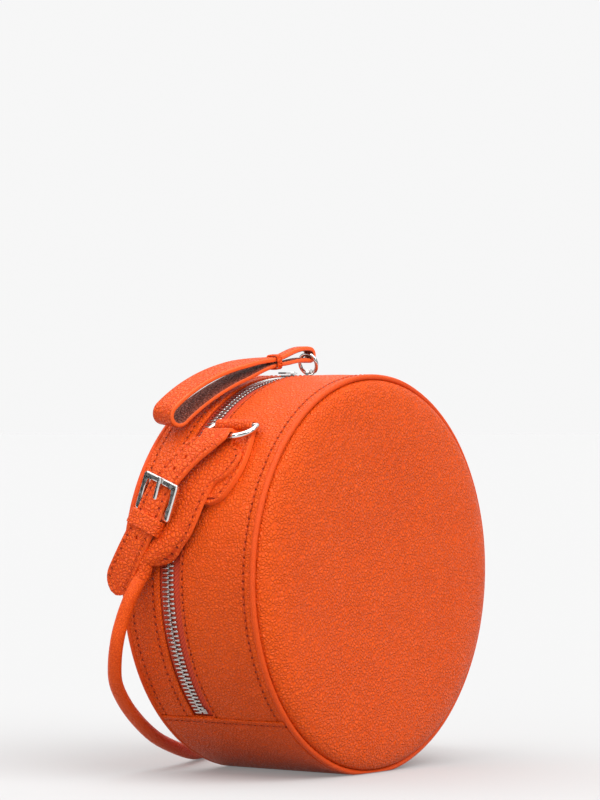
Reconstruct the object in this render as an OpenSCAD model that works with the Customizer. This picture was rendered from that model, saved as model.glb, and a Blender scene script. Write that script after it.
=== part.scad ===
// Round leather bag with a zip round its rim, a hand loop on the zip, and a buckled rolled strap.
// The bag is a drum whose axis lies along Y. Its front disc faces -Y and it stands on Z = 0.

/* [Drum] */
// Outer diameter over the edge bindings
bag_diameter = 192; // [160:1:240]
// Depth from front binding to back binding
bag_depth = 78; // [70:1:100]
// How far each disc swells past its binding
panel_bulge = 7; // [3:0.5:12]
// Thickness of a padded disc at its rim
panel_thickness = 3; // [2:0.1:5]
// Height cut off the round base to stand on
base_flat = 1.2; // [0.6:0.1:1.8]
// Half of the angle that the base panel covers
base_half_angle = 46; // [40:1:52]

/* [Leather] */
// Thickness of the gusset leather
gusset_thickness = 1.6; // [1.2:0.1:2.2]
// Thickness of the base panel
base_thickness = 2.8; // [2.4:0.1:4]
// Diameter of the rolled edge binding
binding_d = 2.7; // [2:0.1:3.4]
// Step from the bindings down to the edge of the gusset leather
gusset_step = 0.6; // [0.4:0.1:1]
// How far the gusset leather swells between its edges
gusset_crown = 0.5; // [0.2:0.1:0.6]
// Thickness of the lining cloth
lining_thickness = 0.5; // [0.3:0.1:1]
// Thickness of the board in the base
board_thickness = 0.8; // [0.5:0.1:1.5]

/* [Zip] */
// Distance of the zip line behind the front rim
zip_setback = 50; // [46:1:52]
// Width of the slot between the gusset leathers
zip_slot = 10.2; // [9.6:0.1:11]
// Pitch of the teeth along one tape
tooth_pitch = 3; // [2.8:0.1:5]
// Length of a tooth along the zip
tooth_w = 1.4; // [1:0.1:1.6]
// Reach of a tooth across the zip
tooth_l = 2.6; // [2:0.1:2.8]
// Height of a tooth
tooth_h = 2.4; // [2:0.1:2.6]
// Half of the space between the two rows of teeth
row_gap = 0.4; // [0.35:0.05:0.6]
// Thickness of the zip tape
tape_thickness = 0.7; // [0.5:0.1:0.9]
// Length of a zip slider
slider_l = 9; // [8:0.5:11]
// Width of a zip slider
slider_w = 8.2; // [8:0.1:9]
// Angle of the right slider past the top of the bag
right_slider_at = 9; // [8:0.5:14]
// Angle of the left slider past the top of the bag
left_slider_at = 1; // [-4:0.5:1]

/* [Hand loop] */
// Width of the hand loop strap
loop_w = 14.5; // [10:0.5:15]
// Thickness of the hand loop strap
loop_t = 2.3; // [1.8:0.1:2.6]
// Length of the loop from its binding to its fold
loop_l = 66; // [55:1:70]
// Length of the neck from the ring to the binding
loop_neck = 23.5; // [20:0.5:25]
// Width of the neck where it passes the ring
neck_w = 5.5; // [4:0.1:6]
// Clear height inside the fold of the loop
loop_gap = 7.4; // [6:0.1:8]
// Turn of the loop towards the back of the bag
loop_turn = 15; // [10:1:18]
// Diameter of the ring on the slider, at the middle of its wire
ring_d = 10; // [9:0.5:12]
// Wire diameter of that ring
ring_wire = 1.9; // [1.6:0.1:2.1]
// Lean of that ring towards the loop
ring_lean = 25; // [15:1:35]

/* [Strap ends] */
// Angle of both D-ring bars round the bag from its side towards its top
ring_up = 46; // [42:1:50]
// Inner width of the D-rings
d_ring_w = 23; // [22:0.5:26]
// Reach of a D-ring from its bar to its far side
d_ring_reach = 11; // [10:0.5:13]
// Wire diameter of the D-rings
d_ring_wire = 2.8; // [2.4:0.1:3]
// Width of a ring tab
tab_w = 21; // [18:0.5:21.5]
// Length of a ring tab from its fold to its end
tab_l = 44; // [36:1:48]
// Thickness of one layer of a ring tab
tab_t = 1.5; // [1.2:0.1:1.8]
// Thickness of the strap leather
strap_t = 1.8; // [1.4:0.1:2]
// Width of the strap tongue that passes the buckle
tongue_w = 14.5; // [12:0.5:15]
// Clearance under the strap ends, where the zip and the back pass
strap_lift = 3.3; // [3.1:0.1:4]
// Length of the broad strap end under the buckle
paddle_l = 60; // [56:1:62]
// Length of the right strap end
right_end_l = 52; // [46:1:54]
// Outer width of the buckle
buckle_w = 23.5; // [22:0.5:26]
// Outer length of the buckle
buckle_l = 17; // [16:0.5:18]
// Diameter of the buckle's wire
buckle_wire = 2; // [1.6:0.1:2.1]
// Diameter of the bar that the prong turns on
pivot_d = 1.5; // [1.2:0.1:1.6]
// Length of the strap keeper along the strap
keeper_l = 7.3; // [5:0.1:8]

/* [Strap cord] */
// Diameter of the rolled strap
cord_d = 6.5; // [5.5:0.5:6.5]

/* [Hidden] */
$fn = 96;

orange = "#e2531f";
deep_orange = "#c8431a";
lining_brown = "#5a2c22";
tape_red = "#a8323a";
silver = "#cfd2d4";

// Overrun of every cut
over = 1;
// Running clearance between pieces that slide or nearly touch
clear = 0.3;
// Gap between neighbouring pieces that are sewn together
seam = 0.1;

bag_r = bag_diameter / 2;
axis_z = bag_r - base_flat;
half_d = bag_depth / 2;
binding_r = binding_d / 2;
panel_r = bag_r - binding_r;
disc_r = bag_r - max(binding_d, base_thickness) - clear;
gusset_r = bag_r - gusset_step;
gusset_inner = gusset_r - gusset_thickness;
gusset_end = half_d - binding_d - seam;
base_from = 270 - base_half_angle;
base_to = 270 + base_half_angle;
hinge_y = -bag_r * cos(base_half_angle);

// Drum coordinates: X to the right, Y up, Z towards the front
module in_drum() {
    translate([0, 0, axis_z]) rotate([90, 0, 0]) children();
}

// A place on the drum: children see X outwards, Y round the drum, Z towards the front
module at(angle, s, h = 0) {
    rotate([0, 0, angle]) translate([bag_r + h, 0, s]) children();
}

// Part of a tube round the drum axis
module sector(from, to, r1, r2, s1, s2) {
    rotate([0, 0, from]) rotate_extrude(angle = to - from)
        translate([r1, s1]) square([r2 - r1, s2 - s1]);
}

// The space below the floor that the bag stands on
module below_floor() {
    translate([-bag_r, -axis_z - bag_r, -bag_depth]) cube([2 * bag_r, bag_r, 2 * bag_depth]);
}

// The space above or below the line where the back folds open
module past_fold(below, gap) {
    y = below ? hinge_y + gap - 2 * bag_r : hinge_y - gap;
    translate([-bag_r - over, y, -bag_depth]) cube([2 * (bag_r + over), 2 * bag_r, 2 * bag_depth]);
}

pillow_steps = 16;
pillow_power = 6;
pillow_round = 0.4;
function pillow(share) = pow(max(0, 1 - pow(share, pillow_power)), pillow_round);

// Half section of a padded disc, which swells forward from its rim
module pillow_section(r, bulge) {
    polygon(concat([[0, -panel_thickness]],
        [for (i = [0:pillow_steps]) let (share = sin(90 * i / pillow_steps)) [r * share, bulge * pillow(share)]],
        [[r, -panel_thickness]]));
}

module disc() {
    rotate_extrude() translate([0, half_d - binding_r]) pillow_section(disc_r, panel_bulge + binding_r);
}

module binding_ring(from, to, s) {
    difference() {
        rotate([0, 0, from]) rotate_extrude(angle = to - from)
            translate([panel_r, s]) circle(d = binding_d, $fn = 24);
        below_floor();
    }
}

crown_steps = 6;
// A strip of gusset leather, crowned between its two edges
module crowned_sector(from, to, s1, s2) {
    line = [for (i = [0:crown_steps]) let (t = 2 * i / crown_steps - 1)
        [gusset_r + gusset_crown * (1 - t * t), s1 + (s2 - s1) * i / crown_steps]];
    rotate([0, 0, from]) rotate_extrude(angle = to - from)
        polygon(concat(line, [[gusset_inner, s2], [gusset_inner, s1]]));
}

// Angle left open at each sewn end of a gusset strip
seam_angle = 0.2;

module front_panel() {
    color(orange) in_drum() disc();
}

module front_edge_binding() {
    color(deep_orange) in_drum() binding_ring(0, 360, half_d - binding_r);
}

module front_gusset() {
    color(orange) in_drum()
        crowned_sector(base_to - 360 + seam_angle, base_from - seam_angle, zip_front, gusset_end);
}

module base_panel() {
    color(orange) in_drum() difference() {
        sector(base_from, base_to, bag_r - base_thickness, bag_r, -gusset_end, gusset_end);
        below_floor();
    }
}

board_inset = 2;
module base_board() {
    top = bag_r - base_thickness - seam;
    color(lining_brown) in_drum() sector(base_from + board_inset, base_to - board_inset,
        top - board_thickness, top, -gusset_end + board_inset, gusset_end - board_inset);
}

// Cloth cup: a disc behind the panel and a wall inside the gusset, left open over the base
module lining_cup(depth) {
    wall_r = gusset_inner - seam;
    difference() {
        rotate_extrude() {
            translate([0, lining_face - lining_thickness]) square([wall_r, lining_thickness]);
            translate([wall_r - lining_thickness, lining_face - depth]) square([lining_thickness, depth]);
        }
        sector(base_from - over, base_to + over, bag_r - base_thickness - 2 * board_thickness,
            bag_r, -half_d, half_d);
    }
}

lining_face = half_d - binding_r - panel_thickness - seam;
tape_lap = 5;
zip_s = half_d - zip_setback;
zip_front = zip_s + zip_slot / 2;
zip_back = zip_s - zip_slot / 2;

module front_lining() {
    color(lining_brown) in_drum() lining_cup(lining_face - zip_front - tape_lap - seam);
}

fold_gap = 0.4;

module lower_back_panel() {
    color(orange) in_drum() difference() {
        mirror([0, 0, 1]) disc();
        past_fold(false, fold_gap);
    }
}

module lower_back_binding() {
    color(deep_orange) in_drum()
        binding_ring(base_from + seam_angle, base_to - seam_angle, -half_d + binding_r);
}

module back_panel() {
    color(orange) in_drum() difference() {
        mirror([0, 0, 1]) disc();
        past_fold(true, fold_gap);
    }
}

module back_edge_binding() {
    color(deep_orange) in_drum()
        binding_ring(base_to - 360 + seam_angle, base_from - seam_angle, -half_d + binding_r);
}

module back_gusset() {
    color(orange) in_drum()
        crowned_sector(base_to - 360 + seam_angle, base_from - seam_angle, -gusset_end, zip_back);
}

module back_lining() {
    color(lining_brown) in_drum() difference() {
        mirror([0, 0, 1]) lining_cup(lining_face + zip_back - tape_lap - seam);
        past_fold(true, fold_gap);
    }
}

tape_r = gusset_inner - seam - tape_thickness;
tape_inset = 1;
tooth_mid = tape_r + tape_thickness / 2;
tooth_step = 360 * tooth_pitch / (2 * PI * bag_r);
stop_w = 3;
teeth_angle = 360 - 2 * base_half_angle;
teeth_count = floor(teeth_angle / tooth_step) - 3;

// Tape along one side of the zip, from the middle of its teeth to under the gusset
module tape(s1, s2) {
    sector(base_to - 360 + tape_inset, base_from - tape_inset, tape_r, tape_r + tape_thickness, s1, s2);
}

// Metal clamped over the edge of a tape: X is outwards, Z leads away from the zip line
module clamp(width) {
    difference() {
        translate([-tooth_h / 2, -width / 2, row_gap]) cube([tooth_h, width, tooth_l]);
        translate([-tape_thickness / 2 - seam, -width / 2 - over, row_gap + tooth_l / 2 - seam])
            cube([tape_thickness + 2 * seam, width + 2 * over, tooth_l]);
    }
}

// One tooth or stop in its place on the zip, on the front tape or mirrored to the back one
module on_tape(angle, back) {
    rotate([0, 0, angle]) translate([tooth_mid, 0, zip_s]) mirror([0, 0, back]) children();
}

module teeth_row(back, shift_share) {
    first = 90 - tooth_step * (teeth_count - 1) / 2;
    for (i = [0:teeth_count - 1])
        on_tape(first + (i + shift_share) * tooth_step, back) clamp(tooth_w);
}

module front_zip_tape() {
    color(tape_red) in_drum() tape(zip_s + row_gap + tooth_l / 2, zip_front + tape_lap);
}

module back_zip_tape() {
    color(tape_red) in_drum() tape(zip_back - tape_lap, zip_s - row_gap - tooth_l / 2);
}

module front_zip_teeth() {
    color(silver) in_drum() teeth_row(0, -0.25);
}

module back_zip_teeth() {
    color(silver) in_drum() teeth_row(1, 0.25);
}

// Angle from the end of a zip slot to the middle of its stop
stop_at = 2;
module zip_end_stops() {
    color(silver) in_drum() for (angle = [base_from - stop_at, base_to - 360 + stop_at])
        on_tape(angle, 0) clamp(stop_w);
}

plate_t = 0.9;
post_t = 0.4;
post_l = 3;
flange_t = 0.6;
slider_under = tooth_mid + tooth_h / 2 + clear - bag_r;
slider_over = tooth_mid - tooth_h / 2 - clear - bag_r;
slider_top = slider_under + plate_t;
waist_share = 0.72;
left_slider_angle = 90 - left_slider_at;
right_slider_angle = 90 - right_slider_at;

// Outline of a slider from above: broad at its mouth and narrow at its tail
module slider_outline() {
    a = slider_l / 2;
    b = slider_w / 2;
    polygon([[-a, -b], [-a / 3, -b], [a, -b * waist_share], [a, b * waist_share], [-a / 3, b], [-a, b]]);
}

// Lays an outline on the drum: its X runs round the drum, its Y towards the front, and it rises outwards
module lay_flat() {
    rotate([0, 90, 0]) rotate([0, 0, 90]) children();
}

// Two plates with flanges beside the teeth, joined by a post that passes between the rows
module slider_body(turned) {
    tape_top = tape_r + tape_thickness + clear - bag_r;
    tape_under = tape_r - clear - bag_r;
    mirror([0, turned, 0]) {
        for (x = [slider_under, slider_over - plate_t])
            translate([x, 0, 0]) lay_flat() linear_extrude(plate_t) slider_outline();
        translate([slider_over - plate_t / 2, slider_l / 2 - post_l, -post_t / 2])
            cube([slider_under - slider_over + plate_t, post_l, post_t]);
        for (z = [-slider_w / 2, slider_w / 2 - flange_t]) {
            translate([tape_top, -slider_l / 2, z])
                cube([slider_top - tape_top, slider_l / 3, flange_t]);
            translate([slider_over - plate_t, -slider_l / 2, z])
                cube([tape_under - slider_over + plate_t, slider_l / 3, flange_t]);
        }
    }
}

bail_w = 1.8;
// Arch on top of a slider, bored for what hangs in it
module bail(reach, hole) {
    middle = slider_top + reach / 2;
    difference() {
        union() {
            translate([slider_top - plate_t / 2, -reach / 2, -bail_w / 2])
                cube([middle - slider_top + plate_t / 2, reach, bail_w]);
            translate([middle, 0, -bail_w / 2]) cylinder(d = reach, h = bail_w);
        }
        translate([middle, 0, -bail_w]) cylinder(d = hole, h = 2 * bail_w);
    }
}

left_bail = 1.9;
left_hole = 1;
right_bail = 4.4;
right_hole = ring_wire + 2 * clear - seam;
pull_w = 4.6;
pull_l = 9;
pull_t = left_hole - 2 * seam;

module left_zip_slider() {
    color(silver) in_drum() at(left_slider_angle, zip_s) {
        slider_body(1);
        bail(left_bail, left_hole);
    }
}

// Flat pull that lies along the zip, with a bar in the arch and a window round it
module left_zip_pull() {
    window_w = bail_w + 2 * clear;
    window_l = left_bail / 2 + clear;
    color(silver) in_drum() at(left_slider_angle, zip_s, slider_top + left_bail / 2) {
        translate([0, 0, -pull_w / 2]) cylinder(d = pull_t, h = pull_w);
        difference() {
            translate([-pull_t / 2, 0, -pull_w / 2]) cube([pull_t, pull_l, pull_w]);
            translate([-pull_t, -over, -window_w / 2]) cube([2 * pull_t, window_l + over, window_w]);
        }
    }
}

module right_zip_slider() {
    color(silver) in_drum() at(right_slider_angle, zip_s) {
        slider_body(0);
        bail(right_bail, right_hole);
    }
}

ring_r = ring_d / 2;
ring_hole_h = slider_top + right_bail / 2;

module puller_ring() {
    color(silver) in_drum() at(right_slider_angle, zip_s, ring_hole_h)
        rotate([0, 0, ring_lean]) translate([ring_r, 0, 0]) rotate([90, 0, 0])
            rotate_extrude() translate([ring_r, 0]) circle(d = ring_wire, $fn = 24);
}

// The loop's profile is drawn as ways round the drum and heights above it. Its neck runs straight
// from the ring to the binding, and its body turns from there towards the back.
loop_steps = 14;
fold_steps = 10;
root_l = 1.5;
taper_l = 20;
bind_t = 0.8;
bind_l = 3;
bind_a = loop_neck + ring_d * sin(ring_lean);
bind_h = strap_lift + bind_t + 2 * clear + loop_t;
wire_sag = ring_r - sqrt(pow(ring_r, 2) - pow(neck_w / 2, 2));
eye_inner = ring_wire / 2 + wire_sag / 2 + clear;
eye_r = eye_inner + loop_t / 2;
eye_reach = ring_d - wire_sag / 2;
eye_x = bag_r + ring_hole_h + eye_reach * cos(ring_lean);
eye_y = eye_reach * sin(ring_lean);
eye_h = norm([eye_x, eye_y]) - bag_r;
eye_a = bag_r * atan2(eye_y, eye_x) * PI / 180;
fold_r = (loop_gap + loop_t) / 2;
fold_a = loop_l - fold_r;
fold_h = strap_lift + loop_t / 2 + fold_r;
function deg(length) = length / bag_r * 180 / PI;
function on_drum(a, h, turn) = let (angle = deg(a) * cos(turn))
    [(bag_r + h) * cos(angle) - bag_r, (bag_r + h) * sin(angle) / cos(turn)];
function rise(t) = sin(90 * t);
function sway(t) = (1 - cos(180 * t)) / 2;
// Half height of the profile, out to a face that lies to one side of the strap's middle
function half_height(t, end_r, face) = loop_t / 2 + (end_r - loop_t / 2) * rise(t) + face;

// Profile of a doubled strap, from its root to a round end. The inner face starts at a point.
function profile(root, end_a, h0, h1, end_r, face, turn) =
    let (way = sign(end_a - root), start = face > 0 ? root - way * root_l : root, last = face > 0 ? 0 : 1)
    concat(
        [for (i = [0:loop_steps]) let (t = i / loop_steps)
            on_drum(start + (end_a - start) * t, h0 + (h1 - h0) * sway(t) + half_height(t, end_r, face), turn)],
        [for (i = [1:fold_steps - 1]) let (w = 90 - 180 * i / fold_steps)
            on_drum(end_a + way * (end_r + face) * cos(w), h1 + (end_r + face) * sin(w), turn)],
        [for (i = [loop_steps:-1:last]) let (t = i / loop_steps)
            on_drum(start + (end_a - start) * t, h0 + (h1 - h0) * sway(t) - half_height(t, end_r, face), turn)]);

module neck() {
    in_drum() at(right_slider_angle, zip_s) translate([0, 0, -neck_w / 2]) linear_extrude(neck_w)
        difference() {
            polygon(profile(bind_a, eye_a, bind_h, eye_h, eye_r, loop_t / 2, 0));
            polygon(profile(bind_a, eye_a, bind_h, eye_h, eye_r, -loop_t / 2, 0));
        }
}

module at_binding(turn) {
    in_drum() at(right_slider_angle + deg(bind_a), zip_s) rotate([-turn, 0, 0]) children();
}

// The body's profile turns about the middle of its own length, so that both ends lie level on the drum
body_half = fold_a / 2;
body_half_angle = deg(body_half) * cos(loop_turn);
body_root = (bag_r + bind_h) * sin(body_half_angle);

module loop_body() {
    n = neck_w / 2;
    w = loop_w / 2;
    u = -body_root / cos(loop_turn);
    in_drum() at(right_slider_angle + deg(bind_a) + body_half_angle, zip_s - body_root * tan(loop_turn))
        rotate([-loop_turn, 0, 0]) intersection() {
            translate([0, 0, -w]) linear_extrude(loop_w) difference() {
                polygon(profile(-body_half, body_half, bind_h, fold_h, fold_r, loop_t / 2, loop_turn));
                polygon(profile(-body_half, body_half, bind_h, fold_h, fold_r, -loop_t / 2, loop_turn));
            }
            translate([-bag_r, 0, 0]) lay_flat() linear_extrude(2 * bag_r) polygon([[u - 2 * root_l, -n],
                [u + bind_l, -n], [u + taper_l, -w], [loop_l, -w], [loop_l, w], [u + taper_l, w],
                [u + bind_l, n], [u - 2 * root_l, n]]);
        }
}

module hand_loop() {
    color(orange) {
        neck();
        loop_body();
    }
}

// Narrow band that holds the two layers together where the loop begins
module loop_binding() {
    inner_h = 2 * (loop_t + 2 * clear);
    inner_w = neck_w + 4 * clear;
    color(deep_orange) at_binding(loop_turn / 2) translate([bind_h, 0, 0]) difference() {
        cube([inner_h + 2 * bind_t, bind_l, inner_w + 2 * bind_t], center = true);
        cube([inner_h, bind_l + over, inner_w], center = true);
    }
}

// Both D-rings lie at the same angle, so the right side is drawn as the left one and mirrored
tab_angle = 180 - ring_up;
left_ring_s = 8.5;
right_ring_s = 14;
tab_eye_r = d_ring_wire / 2 + clear / 2 + tab_t;
tab_bar_h = tab_eye_r + clear / 2;
tab_shoulder_share = 0.72;
tab_tip_share = 0.55;

module mirrored() {
    mirror([1, 0, 0]) children();
}

// Thin tube round the drum between two heights, which laid pieces are cut from
module skin(h1, h2) {
    difference() {
        translate([0, 0, -bag_depth]) cylinder(r = bag_r + h2, h = 2 * bag_depth);
        translate([0, 0, -bag_depth - over]) cylinder(r = bag_r + h1, h = 2 * (bag_depth + over));
    }
}

// Prism over an outline, which rises from inside the drum where the outline's own origin is
module prism_at(angle, s, turn = 0) {
    at(angle, s, -bag_r / 2) rotate([-turn, 0, 0]) lay_flat() linear_extrude(bag_r) children();
}

// Leather tab folded round the bar of its D-ring and sewn to the gusset
module ring_tab(s) {
    half = tab_w / 2;
    tip = half * tab_tip_share;
    shoulder = tab_l * tab_shoulder_share;
    difference() {
        union() {
            intersection() {
                skin(clear / 2, clear / 2 + 2 * tab_t);
                prism_at(tab_angle, s) polygon([[0, -half], [shoulder, -half], [tab_l - tip, -tip],
                    [tab_l - tip, tip], [shoulder, half], [0, half]]);
            }
            at(tab_angle, s - half, tab_bar_h) cylinder(r = tab_eye_r, h = tab_w);
        }
        at(tab_angle, s - half - over, tab_bar_h) cylinder(d = d_ring_wire + clear, h = tab_w + 2 * over);
    }
}

module left_ring_tab() {
    color(orange) in_drum() ring_tab(left_ring_s);
}

module right_ring_tab() {
    color(orange) in_drum() mirrored() ring_tab(right_ring_s);
}

// Bent wire with a straight bar along Z, two legs towards +Y and a far side with round corners
module wire_loop(width, reach, d, bar_d, corner) {
    half = (width - d) / 2;
    straight = half - corner;
    translate([0, 0, -half]) cylinder(d = bar_d, h = 2 * half);
    translate([0, reach, -straight]) cylinder(d = d, h = 2 * straight);
    for (side = [0, 1]) mirror([0, 0, side]) {
        translate([0, 0, half]) sphere(d = d);
        translate([0, 0, half]) rotate([-90, 0, 0]) cylinder(d = d, h = reach - corner);
        translate([0, reach - corner, straight]) lay_flat() rotate_extrude(angle = 90)
            translate([corner, 0]) circle(d = d, $fn = 24);
    }
}

// Heights of the left strap end, up from the paddle past the buckle's pivot to the tongue
wrap_t = 0.6;
tongue_fall = 0.7;
paddle_top = strap_lift + strap_t;
pivot_h = paddle_top + wrap_t + pivot_d / 2 + 3 * seam;
tongue_h = pivot_h + pivot_d / 2 + wrap_t + 3 * seam + tongue_fall;
fold_mid = (paddle_top + tongue_h) / 2;
fold_inner = (tongue_h - paddle_top) / 2;

// The D-ring leans so far outwards that its far side lies in the middle of the strap's fold
bar_out = bag_r + tab_bar_h;
ring_tilt = asin((pow(bag_r + fold_mid, 2) - pow(bar_out, 2) - pow(d_ring_reach, 2))
    / (2 * bar_out * d_ring_reach));
fold_angle = tab_angle + atan2(d_ring_reach * cos(ring_tilt), bar_out + d_ring_reach * sin(ring_tilt));
d_corner = 4;

module d_ring(s) {
    at(tab_angle, s, tab_bar_h) rotate([0, 0, -ring_tilt])
        wire_loop(d_ring_w + 2 * d_ring_wire, d_ring_reach, d_ring_wire, d_ring_wire, d_corner);
}

module left_d_ring() {
    color(silver) in_drum() d_ring(left_ring_s);
}

module right_d_ring() {
    color(silver) in_drum() mirrored() d_ring(right_ring_s);
}

// Half tube of strap leather round the far side of a D-ring
module strap_fold(s) {
    at(fold_angle, s, fold_mid) rotate([0, 0, 180]) rotate_extrude(angle = 180)
        translate([fold_inner, -tongue_w / 2]) square([strap_t, tongue_w]);
}

// Everything on the far side of the fold, where the strap runs flat
module past_ring() {
    intersection() {
        children();
        rotate([0, 0, fold_angle]) translate([0, 0, -bag_depth]) cube([2 * bag_r, 2 * bag_r, 2 * bag_depth]);
    }
}

// The left strap end is laid out from the middle of the buckle's outer bar
strap_past_ring = 20.7;
strap_angle = tab_angle + strap_past_ring;
strap_s = -13;
buckle_turn = 20;
pivot_u = buckle_l - buckle_wire;
// How far out a place so far along the buckle lies, for a height above the drum
function out_at(h, u) = sqrt(pow(bag_r + h, 2) - pow(u * cos(buckle_turn), 2)) - bag_r;
pivot_angle = strap_angle + deg(pivot_u * cos(buckle_turn));
tongue_sink = tongue_fall / (1 - cos(pivot_angle - fold_angle));
tongue_core = bag_r + tongue_h - tongue_sink;
function tongue_at(angle) = let (past = angle - fold_angle)
    tongue_sink * cos(past) + sqrt(pow(tongue_core, 2) - pow(tongue_sink * sin(past), 2)) - bag_r;

// Shell that starts at the fold and sinks towards the end of the tongue
module sinking_skin() {
    rotate([0, 0, fold_angle]) translate([tongue_sink, 0, -bag_depth]) difference() {
        cylinder(r = tongue_core + strap_t, h = 2 * bag_depth);
        translate([0, 0, -over]) cylinder(r = tongue_core, h = 2 * (bag_depth + over));
    }
}

paddle_shares = [[-0.45, 0.43], [-0.38, 0.44], [-0.33, 0.54], [-0.28, 0.57], [-0.21, 0.56], [-0.1, 0.5],
    [-0.03, 0.41], [0.08, 0.37], [0.25, 0.33], [0.38, 0.28], [0.46, 0.21], [0.54, 0.12], [0.59, 0.01],
    [0.62, -0.07], [0.62, -0.18], [0.5, -0.2], [0.38, -0.15], [0.25, -0.09], [0.08, -0.03],
    [-0.1, 0.06], [-0.23, 0.14], [-0.45, 0.19]];
tongue_shares = [[-0.5, 0.33], [-0.4, 0.315], [-0.27, 0.175], [0, 0], [0.27, -0.09], [0.38, -0.14], [0.84, -0.4]];
tongue_mid = paddle_l * tongue_shares;

// Outline of a strap of even width whose middle follows a line of points
function side_of(points, i, w) =
    let (d = points[min(len(points) - 1, i + 1)] - points[max(0, i - 1)])
    points[i] + w / norm(d) * [-d[1], d[0]];
function strap_outline(points, w) = concat(
    [for (i = [0:len(points) - 1]) side_of(points, i, w / 2)],
    [for (i = [len(points) - 1:-1:0]) side_of(points, i, -w / 2)]);

hole_d = 1.8;
hole_shares = [0.42, 0.78];
slot_l = 12.5;
slot_w = 2.6;
slot_past = 2.4;

// Flat strap leather that rolls up into the cord, which starts at one point and runs to the next
module rolled_neck(from, to) {
    way = to - from;
    hull() {
        children();
        translate(from) rotate([0, acos(way[2] / norm(way)), atan2(way[1], way[0])])
            translate([0, 0, -root_l]) cylinder(d = cord_d, h = root_l, $fn = 24);
    }
}

// Thin end of the flat leather, just inside its faces
module flat_end(angle, s, width) {
    at(angle, s, strap_lift + seam) translate([0, -root_l, -width / 2]) cube([strap_t - 2 * seam, root_l, width]);
}

left_neck_past = 21.3;
left_neck_angle = strap_angle + left_neck_past;
left_neck_s = -20.4;

module left_strap_end() {
    color(orange) {
        in_drum() {
            past_ring() intersection() {
                skin(strap_lift, paddle_top);
                prism_at(strap_angle, strap_s) polygon(paddle_l * paddle_shares);
            }
            strap_fold(strap_s + tongue_mid[1][1]);
            past_ring() difference() {
                intersection() {
                    sinking_skin();
                    prism_at(strap_angle, strap_s) polygon(strap_outline(tongue_mid, tongue_w));
                }
                for (share = hole_shares)
                    prism_at(strap_angle, strap_s) translate(share * tongue_mid[2]) circle(d = hole_d);
                prism_at(strap_angle, strap_s, buckle_turn)
                    translate([pivot_u + slot_past - slot_l, -slot_w / 2]) square([slot_l, slot_w]);
            }
        }
        rolled_neck(left_route[0], left_route[1])
            in_drum() flat_end(left_neck_angle, left_neck_s, cord_d);
    }
}

// The buckle's plane leans from its pivot bar up to its outer bar, which lies over the tongue
bar_h = tongue_at(strap_angle) + strap_t + 2 * seam + buckle_wire / 2;
pivot_out = out_at(pivot_h, pivot_u);
buckle_lean = atan2(bar_h - pivot_out, pivot_u);
buckle_reach = norm([bar_h - pivot_out, pivot_u]);
buckle_corner = 2.5;
wrap_r = pivot_d / 2 + seam + wrap_t;

// The buckle's pivot: X away from the bag, Y towards the outer bar in the plane of the buckle, Z across
module at_pivot(lean) {
    in_drum() at(strap_angle, strap_s) rotate([-buckle_turn, 0, 0]) translate([pivot_out, pivot_u, 0])
        rotate([0, 0, 180 + lean]) mirror([1, 0, 0]) children();
}

module buckle_frame() {
    color(silver) at_pivot(buckle_lean)
        wire_loop(buckle_w, buckle_reach, buckle_wire, pivot_d, buckle_corner);
}

prong_d = 1.2;
prong_w = 1.8;
prong_past = 1.2;
module buckle_prong() {
    start = wrap_r - prong_d / 2;
    end = buckle_wire / 2 + prong_d / 2 + seam;
    reach = buckle_reach + prong_past;
    color(silver) at_pivot(buckle_lean) {
        difference() {
            translate([0, 0, -prong_w / 2]) cylinder(r = wrap_r, h = prong_w);
            translate([0, 0, -prong_w]) cylinder(d = pivot_d + 2 * seam, h = 2 * prong_w);
        }
        translate([start, prong_d / 2, 0]) rotate([0, 0, -atan2(end - start, reach)]) {
            rotate([-90, 0, 0]) cylinder(d = prong_d, h = reach);
            translate([0, reach, 0]) sphere(d = prong_d);
        }
    }
}

wrap_w = 8;
wrap_l = 11;
// Strip sewn to the paddle and folded round the pivot bar, notched for the prong
module buckle_strap() {
    notch_w = prong_w + 2 * clear;
    color(orange) difference() {
        union() {
            in_drum() intersection() {
                skin(paddle_top + seam, paddle_top + seam + wrap_t);
                prism_at(strap_angle, strap_s, buckle_turn)
                    translate([pivot_u - wrap_l, -wrap_w / 2]) square([wrap_l, wrap_w]);
            }
            at_pivot(0) translate([0, 0, -wrap_w / 2]) cylinder(r = wrap_r, h = wrap_w);
        }
        at_pivot(0) translate([0, 0, -wrap_w]) cylinder(d = pivot_d + 2 * seam, h = 2 * wrap_w);
        at_pivot(0) translate([0, 0, -notch_w / 2]) cylinder(r = wrap_r + clear, h = notch_w);
    }
}

keeper_t = 1.2;
keeper_room = 1.5;
keeper_turn = 22;
keeper_gap = 2.05;
keeper_u = pivot_u + keeper_gap + keeper_l / 2;
keeper_mid = keeper_u * [cos(buckle_turn), -sin(buckle_turn)];
keeper_angle = strap_angle + asin(keeper_mid[0] / (bag_r + tongue_h));
// Band over the tongue, with its lower side on the paddle
module strap_keeper() {
    bottom = paddle_top + seam;
    top = tongue_at(keeper_angle) + strap_t + 2 * seam;
    inner_w = tongue_w + 2 * keeper_room;
    outer_w = inner_w + 2 * keeper_t;
    color(orange) in_drum() at(keeper_angle, strap_s + keeper_mid[1]) rotate([-keeper_turn, 0, 0]) difference() {
        translate([bottom, -keeper_l / 2, -outer_w / 2]) cube([top + keeper_t - bottom, keeper_l, outer_w]);
        translate([bottom + keeper_t, -keeper_l, -inner_w / 2])
            cube([top - bottom - keeper_t, 2 * keeper_l, inner_w]);
    }
}

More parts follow.
